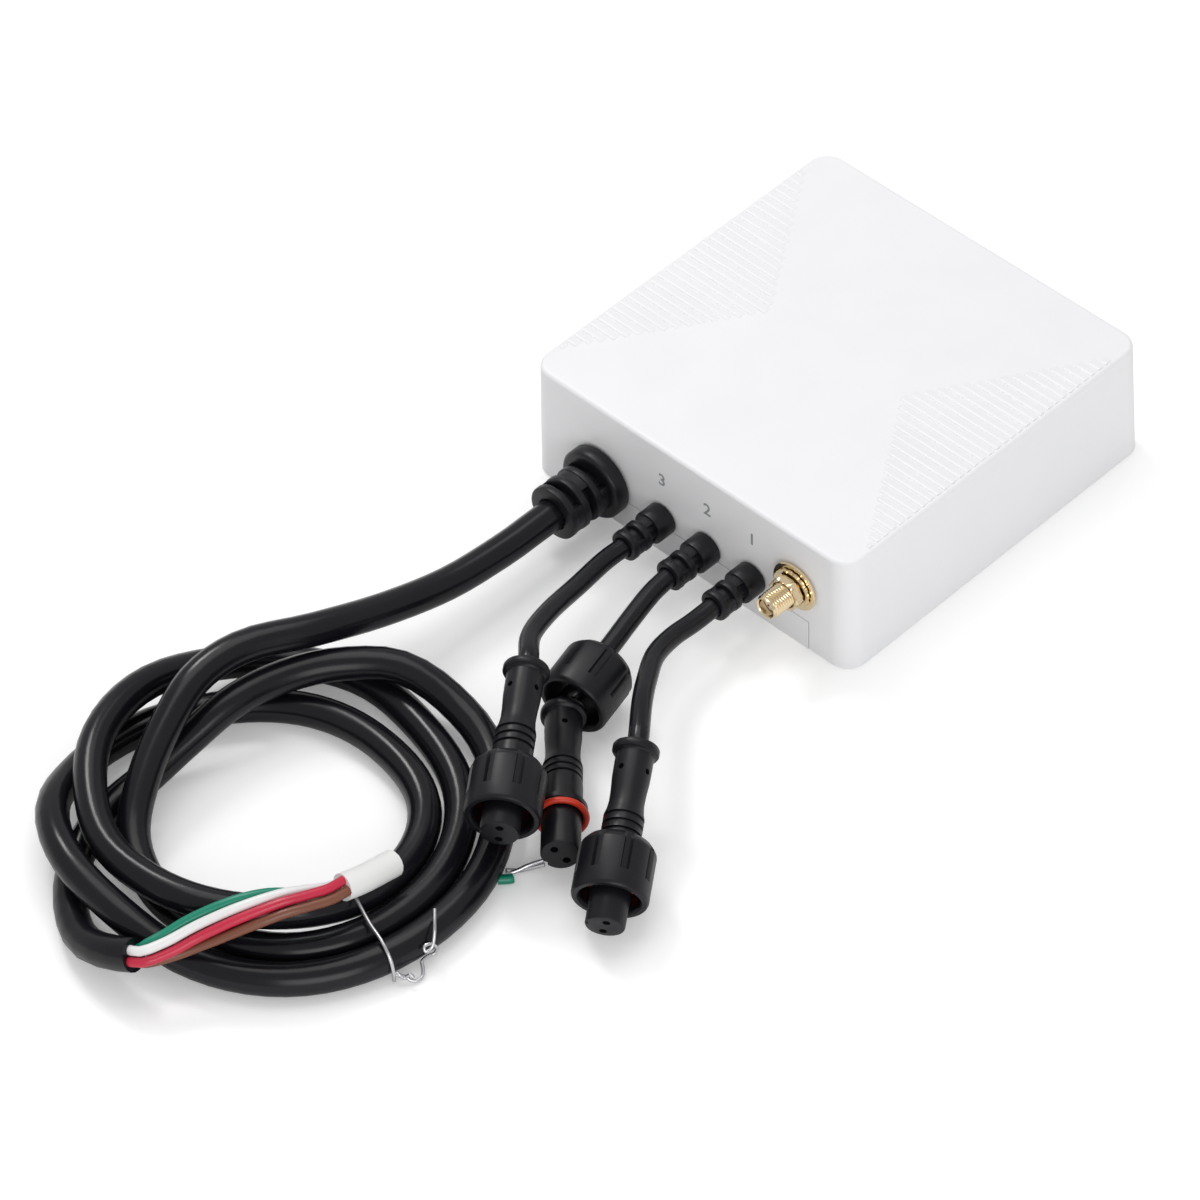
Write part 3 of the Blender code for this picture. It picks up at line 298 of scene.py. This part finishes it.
def grained(name, colour, roughness, metallic=0.0, grain=1500, bump_mm=0.02, tint=0.06, specular=0.5):
    """A moulded or drawn surface: fine grain in its bump, and slow drift in its roughness and colour."""
    made = bpy.data.materials.new(name)
    made.use_nodes = True
    nodes, links = made.node_tree.nodes, made.node_tree.links
    shader = nodes["Principled BSDF"]
    shader.inputs["Metallic"].default_value = metallic
    shader.inputs["Specular IOR Level"].default_value = specular
    place = nodes.new("ShaderNodeTexCoord")
    fine = noise(nodes, links, place, grain, FINE_DETAIL)
    bump = nodes.new("ShaderNodeBump")
    bump.inputs["Strength"].default_value = BUMP_STRENGTH
    bump.inputs["Distance"].default_value = bump_mm * MM
    links.new(fine.outputs["Fac"], bump.inputs["Height"])
    links.new(bump.outputs["Normal"], shader.inputs["Normal"])
    slow = noise(nodes, links, place, grain / SLOW_SHARE, SLOW_DETAIL)
    rough = nodes.new("ShaderNodeMapRange")
    rough.inputs["From Min"].default_value = NOISE_LOW
    rough.inputs["From Max"].default_value = NOISE_HIGH
    rough.inputs["To Min"].default_value = max(roughness - ROUGHNESS_SPREAD / 2, ROUGHNESS_LEAST)
    rough.inputs["To Max"].default_value = roughness + ROUGHNESS_SPREAD / 2
    links.new(slow.outputs["Fac"], rough.inputs["Value"])
    links.new(rough.outputs["Result"], shader.inputs["Roughness"])
    ramp = nodes.new("ShaderNodeValToRGB")
    dark, light = ramp.color_ramp.elements
    dark.position = NOISE_LOW
    dark.color = (*(c * (1 - tint) for c in colour), 1)
    light.position = NOISE_HIGH
    light.color = (*(min(c * (1 + tint), 1) for c in colour), 1)
    links.new(slow.outputs["Fac"], ramp.inputs["Fac"])
    links.new(ramp.outputs["Color"], shader.inputs["Base Color"])
    return made


def make_materials():
    finishes = {}
    for name, (colour, roughness, options) in FINISH_TABLE.items():
        finishes[name] = grained(name, colour, roughness, **options)
    return finishes


# Mesh helpers
def piece(name, mesh, slot, body="root", matrix=None, replaces=()):
    """An object on a body, with its finish, that stands for the nodes it replaces."""
    obj = bpy.data.objects.new(name, mesh)
    bpy.context.scene.collection.objects.link(obj)
    if matrix is not None:
        obj.matrix_world = matrix
    mesh.materials.append(FINISHES[slot])
    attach(obj, body)
    if replaces:
        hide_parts(*replaces)
    return obj


def smoothed(mesh, degrees=38):
    mesh.shade_smooth()
    mesh.set_sharp_from_angle(angle=math.radians(degrees))
    return mesh


def mesh_of(bm, name):
    bmesh.ops.recalc_face_normals(bm, faces=bm.faces)
    mesh = bpy.data.meshes.new(name)
    bm.to_mesh(mesh)
    bm.free()
    return mesh


def skin(bm, loops, ring=False):
    """Faces between loops of vertices. A ring's last loop joins its first; else both ends are closed."""
    pairs = list(zip(loops, loops[1:])) + ([(loops[-1], loops[0])] if ring else [])
    for low, high in pairs:
        count = len(low)
        for k in range(count):
            nxt = (k + 1) % count
            bm.faces.new((low[k], low[nxt], high[nxt], high[k]))
    if not ring:
        bm.faces.new(loops[0])
        bm.faces.new(loops[-1])


def turned(name, rows, segments, ring=False):
    """Turns rows of (radius, height), in millimetres, about Z. A radius may be a function of the angle."""
    bm = bmesh.new()
    loops = []
    for radius, height in rows:
        loop = []
        for k in range(segments):
            angle = 2 * math.pi * k / segments
            r = radius(angle) if callable(radius) else radius
            loop.append(bm.verts.new((r * MM * math.cos(angle), r * MM * math.sin(angle), height * MM)))
        loops.append(loop)
    skin(bm, loops, ring)
    return smoothed(mesh_of(bm, name))


def along(start, direction):
    turn = Vector(direction).to_track_quat("Z", "Y").to_matrix().to_4x4()
    return Matrix.Translation(start) @ turn


def about_z(degrees):
    return Matrix.Rotation(math.radians(degrees), 4, "Z")


def scaled(points):
    return [Vector(p) * MM for p in points]


def smooth_points(route, spacing):
    """Points about this far apart on a Catmull-Rom curve through the route."""
    ends = [route[0] * 2 - route[1], *route, route[-1] * 2 - route[-2]]
    points = []
    for before, start, end, after in zip(ends, ends[1:], ends[2:], ends[3:]):
        count = max(1, round((end - start).length / spacing))
        for step in range(count):
            t = step / count
            points.append(
                0.5 * (2 * start + (end - before) * t + (2 * before - 5 * start + 4 * end - after) * t**2
                       + (3 * start - before - 3 * end + after) * t**3)
            )
    return points + [route[-1]]


def tube(name, points, radius, slot, replaces=(), sides=LEAD_SIDES):
    """A round cord on one open spline, with this many extra edges in each quarter of its section."""
    curve = bpy.data.curves.new(name, "CURVE")
    curve.dimensions = "3D"
    curve.bevel_depth = radius
    curve.bevel_resolution = sides
    curve.use_fill_caps = True
    spline = curve.splines.new("POLY")
    spline.points.add(len(points) - 1)
    for target, point in zip(spline.points, points):
        target.co = (*point, 1)
    return piece(name, curve, slot, replaces=replaces)


def cut(obj, cutters):
    """Takes the cutters' shapes out of a mesh object for good."""
    for index, (mesh, matrix) in enumerate(cutters):
        tool = bpy.data.objects.new(f"{obj.name}_cut_{index}", mesh)
        bpy.context.scene.collection.objects.link(tool)
        tool.matrix_world = matrix
        modifier = obj.modifiers.new("cut", "BOOLEAN")
        modifier.operation = "DIFFERENCE"
        modifier.object = tool
        bpy.context.view_layer.update()
        graph = bpy.context.evaluated_depsgraph_get()
        mesh_now = bpy.data.meshes.new_from_object(obj.evaluated_get(graph))
        obj.modifiers.clear()
        obj.data = mesh_now
        bpy.data.objects.remove(tool)
    smoothed(obj.data)


def front_y(height):
    return -(BASE_SIDE + (TOP_SIDE - BASE_SIDE) * height / CASE_HEIGHT) / 2


def wall_seat(height, radius):
    return front_y(height - radius) - GAP


# Case
def outline(half, radius):
    """Points round a square with rounded corners."""
    points = []
    for turn in range(4):
        start = turn * math.pi / 2
        centre_x = (half - radius) * (1 if turn in (0, 3) else -1)
        centre_y = (half - radius) * (1 if turn in (0, 1) else -1)
        for step in range(CORNER_STEPS + 1):
            angle = start + math.pi / 2 * step / CORNER_STEPS
            points.append((centre_x + radius * math.cos(angle), centre_y + radius * math.sin(angle)))
    return points


def make_case():
    bm = bmesh.new()
    inner_top = CASE_HEIGHT - WALL
    rows = [
        (-front_y(inner_top) - WALL, CORNER_RADIUS - WALL, inner_top),
        (-front_y(0) - WALL, CORNER_RADIUS - WALL, 0.0),
        (-front_y(0) - BASE_CHAMFER, CORNER_RADIUS, 0.0),
        (-front_y(0), CORNER_RADIUS, BASE_CHAMFER),
    ]
    fillet_start = CASE_HEIGHT - TOP_FILLET
    for step in range(FILLET_STEPS + 1):
        angle = math.pi / 2 * step / FILLET_STEPS
        inset = TOP_FILLET * (1 - math.cos(angle))
        height = fillet_start + TOP_FILLET * math.sin(angle)
        rows.append((-front_y(height) - inset, CORNER_RADIUS - inset, height))
    loops = []
    for half, radius, height in rows:
        loops.append([bm.verts.new((x, y, height)) for x, y in outline(half, radius)])
    skin(bm, loops)
    shell = piece("cover_shell", mesh_of(bm, "cover_shell"), "white_case", replaces=("top_cover",))
    notch = bmesh.new()
    bmesh.ops.create_cube(notch, size=1.0)
    low = Vector((-TONGUE_HALF_WIDTH, -BASE_SIDE, -NOTCH_BELOW))
    high = Vector((TONGUE_HALF_WIDTH, front_y(0) + WALL + NOTCH_PAST_WALL, TONGUE_HEIGHT))
    bmesh.ops.scale(notch, vec=high - low, verts=notch.verts)
    bmesh.ops.translate(notch, vec=(low + high) / 2, verts=notch.verts)
    cut(shell, [(mesh_of(notch, "notch"), Matrix.Identity(4))])


def make_ribs():
    """Two triangular fields of low ridges in the lid, pointing at each other."""
    under = CASE_HEIGHT - RIB_SUNK * MM
    for name, side in (("ribs_left", -1), ("ribs_right", 1)):
        bm = bmesh.new()
        y = -RIB_FIELD_Y + RIB_MARGIN
        while y < RIB_FIELD_Y - RIB_PITCH / 2:
            rings = []
            middle = y + RIB_PITCH / 2
            reach = RIB_APEX + (RIB_FIELD_X - RIB_APEX) * abs(middle) / RIB_FIELD_Y
            for x, share in ((RIB_FIELD_X, 1.0), (reach + RIB_END_LENGTH, 1.0), (reach, RIB_END_SHARE)):
                ring = []
                for dy, dz in RIB_SECTION:
                    height = CASE_HEIGHT + RIB_HEIGHT * share * dz * MM
                    ring.append(bm.verts.new((side * x * MM, (y + dy) * MM, height)))
                ring.append(bm.verts.new((side * x * MM, (y + RIB_SECTION[-1][0]) * MM, under)))
                ring.append(bm.verts.new((side * x * MM, y * MM, under)))
                rings.append(ring)
            skin(bm, rings)
            y += RIB_PITCH
        piece(name, smoothed(mesh_of(bm, name), RIB_SMOOTH_DEGREES), "white_case")


def make_labels():
    """Plain numbers over the three leads."""
    draft = math.atan2((BASE_SIDE - TOP_SIDE) / 2, CASE_HEIGHT)
    upright = Matrix.Rotation(math.pi / 2 - draft, 4, "X")
    for number, x in LABELS:
        text = bpy.data.curves.new(f"label_{number}", "FONT")
        text.body = str(number)
        text.size = LABEL_SIZE
        text.align_x = "CENTER"
        text.align_y = "CENTER"
        text.extrude = LABEL_DEPTH
        text.offset = LABEL_WEIGHT
        place = Matrix.Translation((x * MM, front_y(LABEL_Z) - LABEL_DEPTH / 2, LABEL_Z))
        piece(f"label_{number}", text, "print", matrix=place @ upright)


# Glands
def bridged(groove, ring, phase):
    """A groove crossed by two bridges, opposite each other."""
    def radius(angle):
        off_bridge = abs((angle - phase + math.pi / 2) % math.pi - math.pi / 2)
        return ring if off_bridge < BRIDGE_HALF_ANGLE else groove
    return radius


def ring_rows(end, ring, outer, groove, count):
    """Rows of a strain relief from its tip down: rings with bridged gaps between them."""
    rows = []
    for index in range(count):
        top = end - 2 * index * ring
        gap = bridged(groove, outer - BRIDGE_INSET, math.pi / 2 * (index % 2))
        rows += [(outer - inset, top - drop) for inset, drop in RING_FRONT]
        rows += [(outer - inset, top - ring + rise) for inset, rise in RING_BACK]
        rows += [(gap, top - ring), (gap, top - 2 * ring + RING_CLEARANCE)]
    return rows


def make_gland(name, node, place, length, cable_radius, lip, rings, base_rows, segments):
    end = length / MM
    rows = [(cable_radius / MM + past, end - back) for past, back in lip]
    rows += ring_rows(end, *rings)
    rows += base_rows
    mesh = turned(name, rows, segments)
    piece(name, mesh, "black_nylon", matrix=along(place, OUT), replaces=(node,))


def make_glands():
    place = (POWER_X, wall_seat(POWER_Z, FLANGE_RADIUS), POWER_Z)
    make_gland("mains_gland", "power_gland", place, POWER_GLAND_LENGTH, CABLE_RADIUS, POWER_LIP,
               POWER_RINGS, POWER_FLANGE, POWER_SEGMENTS)
    for index, x in enumerate(LEAD_X):
        place = (x, wall_seat(LEAD_Z, LEAD_GLAND_RADIUS), LEAD_Z)
        make_gland(f"sensor_gland_{index + 1}", f"lead_gland_{index + 1}", place, LEAD_GLAND_LENGTH,
                   LEAD_RADIUS, LEAD_LIP, LEAD_RINGS, LEAD_COLLAR, LEAD_SEGMENTS)


# Aerial jack
def barrel_rows():
    """A barrel with its thread, from the mouth to the wall, open at the front."""
    stop = JACK_LENGTH - JACK_LAND
    count = round((stop - THREAD_START) / THREAD_PITCH * THREAD_ROWS)

    def crest(height):
        fade = min((stop - height) / THREAD_FADE, 1.0)

        def radius(angle):
            phase = (height / THREAD_PITCH - angle / (2 * math.pi)) % 1.0
            return THREAD_RADIUS - THREAD_DEPTH * (1 - fade * (1 - abs(2 * phase - 1)))
        return radius
    rows = [
        (JACK_BORE, JACK_LENGTH - JACK_BORE_DEPTH), (JACK_BORE, JACK_LENGTH - MOUTH_BEVEL_DEPTH),
        (JACK_BORE + MOUTH_BEVEL, JACK_LENGTH), (THREAD_RADIUS - MOUTH_RIM, JACK_LENGTH),
    ]
    for step in range(count + 1):
        height = stop - (stop - THREAD_START) * step / count
        rows.append((crest(height), height))
    neck = THREAD_RADIUS - NECK_INSET
    return rows + [(neck, THREAD_START - NECK_STEP), (neck, 0.0), (JACK_BORE, 0.0)]


def washer_rows():
    return ((RING_BORE, WASHER_ROWS[0][1]), *WASHER_ROWS, (RING_BORE, WASHER_ROWS[-1][1]))


def lock_washer_rows():
    def teeth(angle):
        place = (angle * TOOTH_COUNT / math.pi) % 2
        return TOOTH_TIP if place < 2 * TOOTH_SHARE else TOOTH_ROOT
    return (
        (RING_BORE, LOCK_BACK), (LOCK_INNER, LOCK_BACK), (teeth, TOOTH_BACK), (teeth, TOOTH_FRONT),
        (LOCK_INNER, LOCK_FRONT), (RING_BORE, LOCK_FRONT),
    )


def hex_rows():
    def hexagon(limit):
        def radius(angle):
            sixth = angle % (math.pi / 3) - math.pi / 6
            return min(HEX_FLAT / math.cos(sixth), limit)
        return radius
    return (
        (RING_BORE, HEX_BACK), (hexagon(HEX_BEVEL), HEX_BACK),
        (hexagon(HEX_CORNER), HEX_BACK + HEX_BEVEL_DEPTH),
        (hexagon(HEX_CORNER), HEX_FRONT - HEX_BEVEL_DEPTH), (hexagon(HEX_BEVEL), HEX_FRONT),
        (RING_BORE + HEX_BORE_BEVEL, HEX_FRONT), (RING_BORE, HEX_FRONT - HEX_BORE_BEVEL),
    )


def make_jack():
    frame = along((JACK_X, wall_seat(JACK_Z, WASHER_RADIUS), JACK_Z), OUT)
    for name, node, rows, segments in (
        ("aerial_barrel", "antenna_jack", barrel_rows(), 48),
        ("aerial_washer", "antenna_washer", washer_rows(), 64),
        ("aerial_lock_washer", "antenna_lock_washer", lock_washer_rows(), 128),
        ("aerial_nut", "antenna_nut", hex_rows(), 96),
    ):
        mesh = turned(name, rows, segments, ring=True)
        piece(name, mesh, "gold", matrix=frame, replaces=(node,))


# Cables
def coil_points():
    stations = np.array(COIL_STATIONS, float)
    last = stations[-1, 0]
    bearings = np.arange(stations[0, 0], last, COIL_STEP)
    bearings = np.append(bearings[bearings < last - COIL_STEP / 2], last)
    slopes = np.gradient(stations[:, 1:], stations[:, 0], axis=0)
    points = []
    for bearing in bearings:
        i = min(max(np.searchsorted(stations[:, 0], bearing, side="right") - 1, 0), len(stations) - 2)
        span = stations[i + 1, 0] - stations[i, 0]
        t = (bearing - stations[i, 0]) / span
        start, end = stations[i, 1:], stations[i + 1, 1:]
        value = ((2 * t**3 - 3 * t**2 + 1) * start + (t**3 - 2 * t**2 + t) * span * slopes[i]
                 + (3 * t**2 - 2 * t**3) * end + (t**3 - t**2) * span * slopes[i + 1])
        angle = math.radians(bearing)
        radius, height = (float(v) * MM for v in value)
        points.append(COIL_CENTRE + Vector((radius * math.cos(angle), radius * math.sin(angle), height)))
    return points


def make_mains_cable():
    coil = coil_points()[COIL_SKIP:]
    mouth = Vector((POWER_X, wall_seat(POWER_Z, FLANGE_RADIUS) - POWER_GLAND_LENGTH, POWER_Z))
    route = [mouth - OUT * CABLE_TUCK, mouth + OUT * POWER_STRAIGHT, *scaled(POWER_ROUTE)]
    route += [coil[0], coil[JOIN_AHEAD]]
    points = smooth_points(route, CABLE_SPACING)
    points = points[:points.index(coil[0])] + coil
    nodes = ("power_cable_run", "power_cable_coil")
    cable = tube("mains_cable", points, CABLE_RADIUS, "black_pvc", nodes, sides=CABLE_SIDES)
    return cable, points


def core_points(middle, step, share, layer):
    """One core's points round the bundle's middle line. The bundle turns, and opens into a ribbon."""
    points = []
    last = len(middle) - 1
    for index, point in enumerate(middle):
        ahead = (middle[min(index + 1, last)] - middle[max(index - 1, 0)]).normalized()
        side = ahead.cross(UP).normalized()
        over = side.cross(ahead)
        part = index / last
        turn = RIBBON_START + RIBBON_TURN * part**2
        across = math.cos(turn) * side + math.sin(turn) * over
        outward = math.sin(turn) * side - math.cos(turn) * over
        opening = RIBBON_OPENING * math.sin(math.pi * part) * math.pi / 2
        place = across * (step + share * math.sin(opening)) + outward * layer * math.cos(opening)
        points.append(point + WIRE_PITCH * place)
    return points


def make_wires(cable_points):
    cut_end = cable_points[-1]
    heading = (cable_points[-1] - cable_points[-2]).normalized()
    sleeve = scaled(SLEEVE_ROUTE)
    into = (sleeve[1] - sleeve[0]).normalized()
    route = [cut_end - heading * CABLE_TUCK, cut_end + heading * WIRE_STRAIGHT, *scaled(WIRE_ROUTE)]
    route += [sleeve[0] - into * SLEEVE_APPROACH, sleeve[0] + into * SLEEVE_ENTRY]
    middle = smooth_points(route, WIRE_SPACING)
    wires = []
    for colour, (step, share, layer) in WIRE_ORDER.items():
        points = core_points(middle, step, share, layer)
        nodes = (f"wire_{colour}",)
        core = tube(f"{colour}_core", points, WIRE_RADIUS, f"{colour}_wire", nodes, sides=WIRE_SIDES)
        wires.append((core, points))
    points = smooth_points(sleeve, SLEEVE_SPACING)
    cover = tube("core_sleeve", points, SLEEVE_RADIUS, "white_insulator", ("end_sleeve",), sides=CABLE_SIDES)
    return wires, cover


def make_tie():
    angle = math.radians(TIE_BEARING)
    outward = Vector((math.cos(angle), math.sin(angle), 0))
    points = [COIL_CENTRE + (outward * radius + UP * height) * MM for radius, height in TIE_OUTLINE]
    points = smooth_points(points, TIE_SPACING)
    return tube("tie_wire", points, TIE_RADIUS, "steel", ("coil_tie",), sides=FINE_SIDES)


def fine_tube(name, route, spacing, radius, slot):
    return tube(name, smooth_points(scaled(route), spacing), radius, slot, sides=FINE_SIDES)


def make_tie_tails():
    tails = []
    for order, route in enumerate(TAIL_ROUTES):
        tails.append(fine_tube(f"tie_tail_{order + 1}", route, TAIL_SPACING, TAIL_RADIUS, "steel"))
    return tails


def make_tips():
    tips = []
    for order, route in enumerate(TIP_ROUTES):
        tips.append(fine_tube(f"tinned_tip_{order + 1}", route, TIP_SPACING, TIP_RADIUS, "steel"))
    tips.append(fine_tube("green_stub", STUB_ROUTE, TIP_SPACING, WIRE_RADIUS, "green_wire"))
    return tips


# Sensor leads
def nut_rows():
    """Rows of a coupling nut from its rear face round the outside to its bore."""
    def slotted(base, depth):
        def radius(angle):
            place = (angle / (2 * math.pi / NUT_SLOTS)) % 1.0
            return base - (depth if abs(place - 0.5) < SLOT_HALF_SHARE else 0.0)
        return radius
    rows = [(NUT_BACK_HOLE, 0.0), *NUT_REAR_ROWS]
    rows += [(slotted(base, depth), height) for base, depth, height in NUT_SLOT_ROWS]
    rows += [(NUT_RADIUS - inset, NUT_LENGTH - back) for inset, back in NUT_RIM]
    rows += [(NUT_BORE - inset, NUT_LENGTH - back) for inset, back in NUT_THREAD]
    return rows + [(NUT_BORE, NUT_BACK_WALL), (NUT_BACK_HOLE, NUT_BACK_WALL)]


def body_rows():
    """Rows of a connector's moulded body from its cable end to its nose."""
    rows = list(GRIP_ROWS)
    for start in GROOVE_STARTS:
        rows += [(radius, start + height) for radius, height in GROOVE_ROWS]
    bevel_radius = SHOULDER_RADIUS - SHOULDER_BEVEL
    rows += [*NECK_ROWS, (NECK_RADIUS, SHOULDER_START - SHOULDER_STEP), (bevel_radius, SHOULDER_START)]
    rows += [(SHOULDER_RADIUS, SHOULDER_START + SHOULDER_BEVEL)]
    rows += [(SHOULDER_RADIUS, SHOULDER_END - SHOULDER_BEVEL)]
    rows += [(bevel_radius, SHOULDER_END), (NOSE_RADIUS, SHOULDER_END + SHOULDER_STEP)]
    return rows + [(NOSE_RADIUS - inset, NOSE_END - back) for inset, back in NOSE_EDGE]


def peg(radius, length):
    return turned("peg", ((radius, -length / 2), (radius, length / 2)), PEG_SEGMENTS)


def make_body(number, frame, roll):
    """A connector's body, with its pin holes, the groove for its key, and four small holes in its grip."""
    name = f"plug_body_{number}"
    mesh = turned(name, body_rows(), BODY_SEGMENTS)
    body = piece(name, mesh, "black_nylon", matrix=frame, replaces=(f"connector_body_{number}",))
    rolled = frame @ about_z(roll)
    holes = []
    for x in PIN_PLACES:
        holes.append((peg(PIN_RADIUS, PIN_LENGTH), rolled @ Matrix.Translation((x * MM, 0, NOSE_END * MM))))
    key = rolled @ Matrix.Translation((0, NOSE_RADIUS * MM, (NOSE_END + KEY_AHEAD) * MM))
    holes.append((peg(KEY_RADIUS, KEY_LENGTH), key))
    outside = Matrix.Translation((0, EYELET_OUT * MM, EYELET_HEIGHT * MM))
    inward = outside @ Matrix.Rotation(math.pi / 2, 4, "X")
    for bearing in EYELETS:
        holes.append((peg(EYELET_RADIUS, EYELET_LENGTH), rolled @ about_z(bearing) @ inward))
    cut(body, holes)
    return body


def make_seal(number, frame):
    turns = [2 * math.pi * k / SEAL_STEPS for k in range(SEAL_STEPS)]
    centre = NOSE_RADIUS + GAP / MM + SEAL_SECTION
    section = [(centre + SEAL_SECTION * math.cos(a), SEAL_SECTION * math.sin(a)) for a in turns]
    name = f"red_seal_{number}"
    mesh = turned(name, section, BODY_SEGMENTS, ring=True)
    place = frame @ Matrix.Translation((0, 0, (SHOULDER_END + SEAL_SECTION) * MM + GAP))
    return piece(name, mesh, "red_rubber", matrix=place, replaces=(f"seal_ring_{number}",))


def make_nut(number, frame):
    name = f"screw_nut_{number}"
    mesh = turned(name, nut_rows(), NUT_SEGMENTS, ring=True)
    return piece(name, mesh, "black_nylon", body=f"nut_{number}", matrix=frame,
                 replaces=(f"coupling_nut_{number}",))


def make_lead(index):
    number = index + 1
    rear = Vector(CONNECTOR_REAR[index]) * MM
    ahead = (Vector(CONNECTOR_AIM[index]) * MM - rear).normalized()
    frame = along(rear, ahead)
    body = make_body(number, frame, CONNECTOR_ROLL[index])
    seal = make_seal(number, frame)
    nut_frame = frame @ Matrix.Translation((0, 0, NUT_REARS[index] * MM))
    if index == LOOSE_NUT:
        axis = Vector(LOOSE_NUT_AXIS).normalized()
        nut_frame = along((Vector(LOOSE_NUT_CENTRE) - axis * NUT_LENGTH / 2) * MM, axis)
    nut = make_nut(number, nut_frame)
    mouth = Vector((LEAD_X[index], wall_seat(LEAD_Z, LEAD_GLAND_RADIUS) - LEAD_GLAND_LENGTH, LEAD_Z))
    route = [mouth - OUT * CABLE_TUCK, *scaled(LEAD_ROUTES[index])]
    route += [rear - ahead * LEAD_APPROACH, rear + ahead * LEAD_ENTRY]
    points = smooth_points(route, LEAD_SPACING)
    lead = tube(f"sensor_lead_{number}", points, LEAD_RADIUS, "black_pvc", (f"lead_cable_{number}",))


# Stage
def area_light(name, place, size, power):
    lamp = bpy.data.lights.new(name, "AREA")
    lamp.shape = "SQUARE"
    lamp.size = size
    lamp.energy = power
    obj = bpy.data.objects.new(name, lamp)
    bpy.context.scene.collection.objects.link(obj)
    aim = Vector(LAMP_TARGET) - Vector(place)
    obj.matrix_world = Matrix.Translation(place) @ aim.to_track_quat("-Z", "Y").to_matrix().to_4x4()


def make_camera(scene):
    camera = bpy.data.objects.new("camera", bpy.data.cameras.new("camera"))
    camera.data.lens = CAMERA_LENS
    camera.data.sensor_width = CAMERA_SENSOR
    camera.data.clip_end = CAMERA_FAR
    columns = [Vector(CAMERA_RIGHT), Vector(CAMERA_UP), -Vector(CAMERA_AHEAD)]
    turn = Matrix(columns).transposed().to_4x4()
    camera.matrix_world = Matrix.Translation(CAMERA_PLACE) @ turn
    scene.collection.objects.link(camera)
    scene.camera = camera


def floor_material():
    """A matt white floor that the camera sees a little brighter than it is lit."""
    surface = bpy.data.materials.new("floor")
    surface.use_nodes = True
    nodes, links = surface.node_tree.nodes, surface.node_tree.links
    shader = nodes["Principled BSDF"]
    shader.inputs["Base Color"].default_value = FLOOR_COLOUR
    shader.inputs["Roughness"].default_value = FLOOR_ROUGHNESS
    shader.inputs["Specular IOR Level"].default_value = FLOOR_SPECULAR
    shader.inputs["Emission Color"].default_value = WHITE
    rays = nodes.new("ShaderNodeLightPath")
    lift = nodes.new("ShaderNodeMath")
    lift.operation = "MULTIPLY"
    lift.inputs[1].default_value = FLOOR_LIFT
    links.new(rays.outputs["Is Camera Ray"], lift.inputs[0])
    links.new(lift.outputs["Value"], shader.inputs["Emission Strength"])
    return surface


def make_stage():
    scene = bpy.context.scene
    scene.view_settings.view_transform = "Standard"
    make_camera(scene)
    world = bpy.data.worlds.new("studio")
    world.use_nodes = True
    background = world.node_tree.nodes["Background"]
    background.inputs["Color"].default_value = WHITE
    background.inputs["Strength"].default_value = WORLD_STRENGTH
    scene.world = world
    for name, (place, size, power) in LAMPS.items():
        area_light(name, place, size, power)
    floor = bmesh.new()
    bmesh.ops.create_grid(floor, x_segments=1, y_segments=1, size=FLOOR_SIZE)
    mesh = mesh_of(floor, "floor")
    mesh.materials.append(floor_material())
    obj = bpy.data.objects.new("floor", mesh)
    obj.location.z = -FLOOR_DROP
    scene.collection.objects.link(obj)


def dress_nodes(frame):
    """Every node that stays gets its slot's finish."""
    slots = {row["node"]: row["material_slot"] for row in frame["record"]["subparts"]}
    for name, obj in frame["nodes"].items():
        obj.data.materials.clear()
        obj.data.materials.append(FINISHES[slots[name]])


for old in list(bpy.data.objects):
    bpy.data.objects.remove(old)
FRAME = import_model()
FINISHES = make_materials()
dress_nodes(FRAME)
make_stage()
CABLE, CABLE_POINTS = make_mains_cable()
WIRES, SLEEVE = make_wires(CABLE_POINTS)
TIE = make_tie()
TAILS = make_tie_tails()
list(make_tips())
for lead_index in range(len(LEAD_X)):
    make_lead(lead_index)
make_case()
make_ribs()
make_labels()
make_glands()
make_jack()
